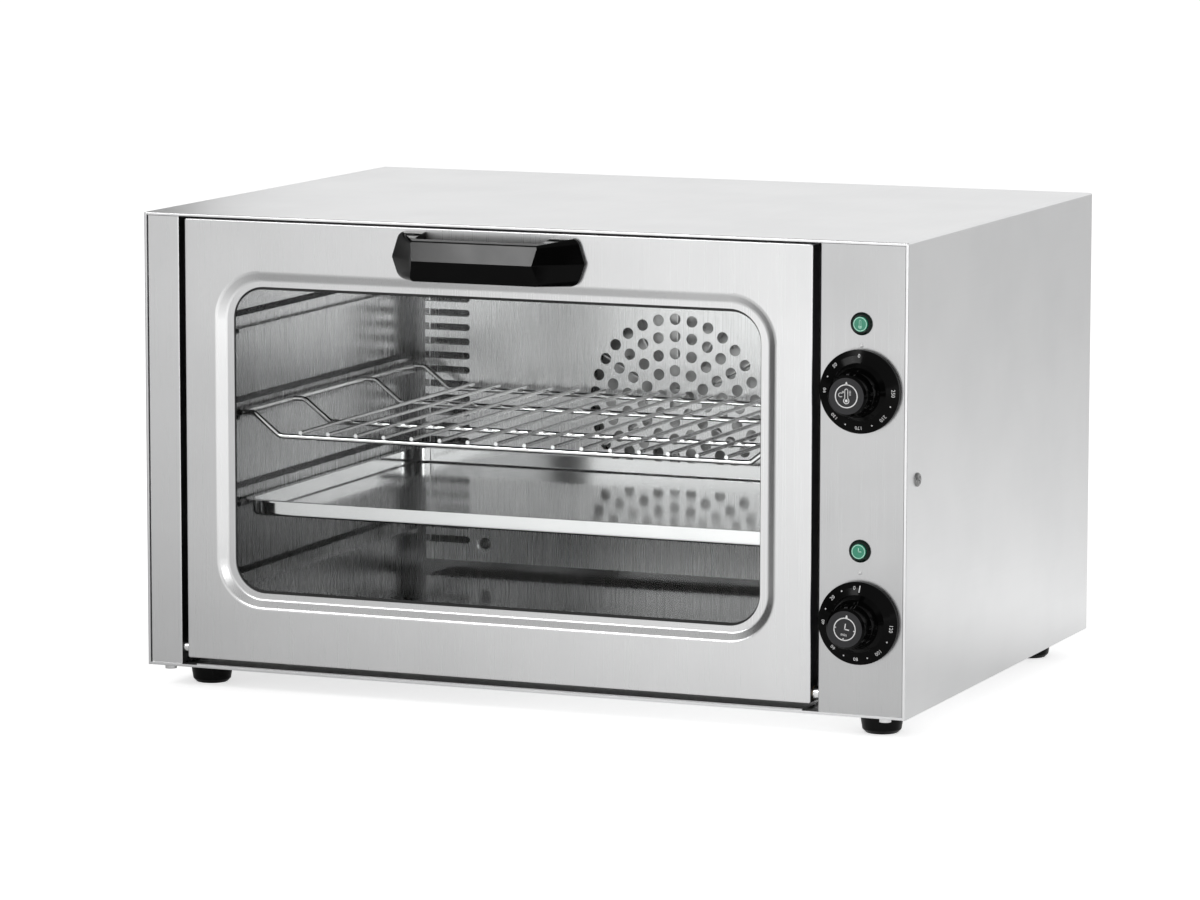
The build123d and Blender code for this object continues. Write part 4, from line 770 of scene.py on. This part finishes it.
def axes(tree, kind):
    """The three axes of a texture coordinate."""
    place = tree.nodes.new("ShaderNodeTexCoord")
    split = tree.nodes.new("ShaderNodeSeparateXYZ")
    tree.links.new(place.outputs[kind], split.inputs[0])
    return split.outputs


def world_light():
    """Soft white surroundings that fall dark on the left; the camera sees plain white."""
    world = bpy.data.worlds.new("studio")
    bpy.context.scene.world = world
    world.use_nodes = True
    tree = world.node_tree
    tree.nodes.clear()
    out = tree.nodes.new("ShaderNodeOutputWorld")
    seen = tree.nodes.new("ShaderNodeBackground")
    seen.inputs["Color"].default_value = WHITE
    lit = tree.nodes.new("ShaderNodeBackground")
    way = axes(tree, "Generated")
    strength = times(tree, ranged(tree, way["X"], *WORLD_LEFT_X), ranged(tree, way["Y"], *WORLD_FRONT_Y),
                     ranged(tree, way["X"], *WORLD_RIGHT_X), ranged(tree, way["Z"], *WORLD_HEIGHT_Z))
    tree.links.new(strength, lit.inputs["Strength"])
    path = tree.nodes.new("ShaderNodeLightPath")
    mix = tree.nodes.new("ShaderNodeMixShader")
    tree.links.new(path.outputs["Is Camera Ray"], mix.inputs[0])
    tree.links.new(lit.outputs[0], mix.inputs[1])
    tree.links.new(seen.outputs[0], mix.inputs[2])
    tree.links.new(mix.outputs[0], out.inputs[0])


def sheet(name, corners):
    """A flat four-cornered stage piece."""
    mesh = bpy.data.meshes.new(name)
    mesh.from_pydata(corners, [], [(0, 1, 2, 3)])
    piece = bpy.data.objects.new(name, mesh)
    bpy.context.scene.collection.objects.link(piece)
    return piece


def floor():
    """A plain white floor that keeps a soft shadow; the metal sees bright and dark fields on it."""
    half = FLOOR_HALF
    piece = sheet("floor", [(-half, -half, 0), (half, -half, 0), (half, half, 0), (-half, half, 0)])
    made, tree, shader = material("floor")
    spots = scaled_noise(tree, *STAGE_SPOTS)
    shader.inputs["Roughness"].default_value = MATT
    shader.inputs["Emission Color"].default_value = WHITE
    path = tree.nodes.new("ShaderNodeLightPath")
    place = axes(tree, "Object")
    glossy = path.outputs["Is Glossy Ray"]
    left = times(tree, ranged(tree, place["X"], *DARK_LEFT_X), ranged(tree, place["Y"], *DARK_LEFT_Y))
    beside = times(tree, ranged(tree, place["X"], *DARK_RIGHT_X),
                   ranged(tree, place["Y"], *DARK_RIGHT_NEAR_Y),
                   ranged(tree, place["Y"], *DARK_RIGHT_FAR_Y))
    kept = ranged(tree, plus(tree, left, beside), *KEPT_BY_DARK)
    dimmed = plus(tree, ranged(tree, glossy, 1.0, 0.0, *ZERO_TO_ONE), times(tree, kept, glossy))
    tree.links.new(times(tree, ranged(tree, spots, *FLOOR_TONE), dimmed), shader.inputs["Base Color"])
    across = plus(tree, place["X"], ranged(tree, place["Y"], *GLOW_SLANT_Y))
    front = times(tree, ranged(tree, place["Y"], *GLOW_FRONT_Y), ranged(tree, place["Y"], *GLOW_FADE_Y),
                  ranged(tree, across, *GLOW_EDGE))
    back = times(tree, ranged(tree, place["Y"], *BACK_GLOW_Y), ranged(tree, place["Y"], *BACK_GLOW_START_Y),
                 ranged(tree, place["X"], *BACK_GLOW_X))
    mirrored = times(tree, plus(tree, front, back), glossy, ranged(tree, beside, *GLOW_KEPT_BESIDE))
    seen = ranged(tree, path.outputs["Is Camera Ray"], 0.0, FLOOR_SEEN, *ZERO_TO_ONE)
    tree.links.new(plus(tree, seen, mirrored), shader.inputs["Emission Strength"])
    piece.data.materials.append(made)


def lamp(name, place, target, width, height, power):
    """A soft rectangular lamp."""
    data = bpy.data.lights.new(name, "AREA")
    data.shape = "RECTANGLE"
    data.size = width
    data.size_y = height
    data.energy = power
    piece = bpy.data.objects.new(name, data)
    bpy.context.scene.collection.objects.link(piece)
    piece.location = place
    piece.rotation_mode = "QUATERNION"
    piece.rotation_quaternion = (Vector(target) - Vector(place)).to_track_quat("-Z", "Y")


def card():
    """A dark card on the left that only the metal sees."""
    corners = [(CARD_X, CARD_Y[0], CARD_Z[0]), (CARD_X, CARD_Y[1], CARD_Z[0]),
               (CARD_X, CARD_Y[1], CARD_Z[1]), (CARD_X, CARD_Y[0], CARD_Z[1])]
    piece = sheet("card", corners)
    made, tree, shader = material("card")
    spots = scaled_noise(tree, *STAGE_SPOTS)
    tree.links.new(two_tone(tree, spots, grey(0.02), grey(0.03)), shader.inputs["Base Color"])
    shader.inputs["Roughness"].default_value = MATT
    piece.data.materials.append(made)
    piece.visible_camera = False
    piece.visible_diffuse = False
    piece.visible_shadow = False
    piece.visible_transmission = False


world_light()
floor()
for row in LAMPS:
    lamp(*row)
card()

bpy.context.scene.view_settings.view_transform = "Standard"
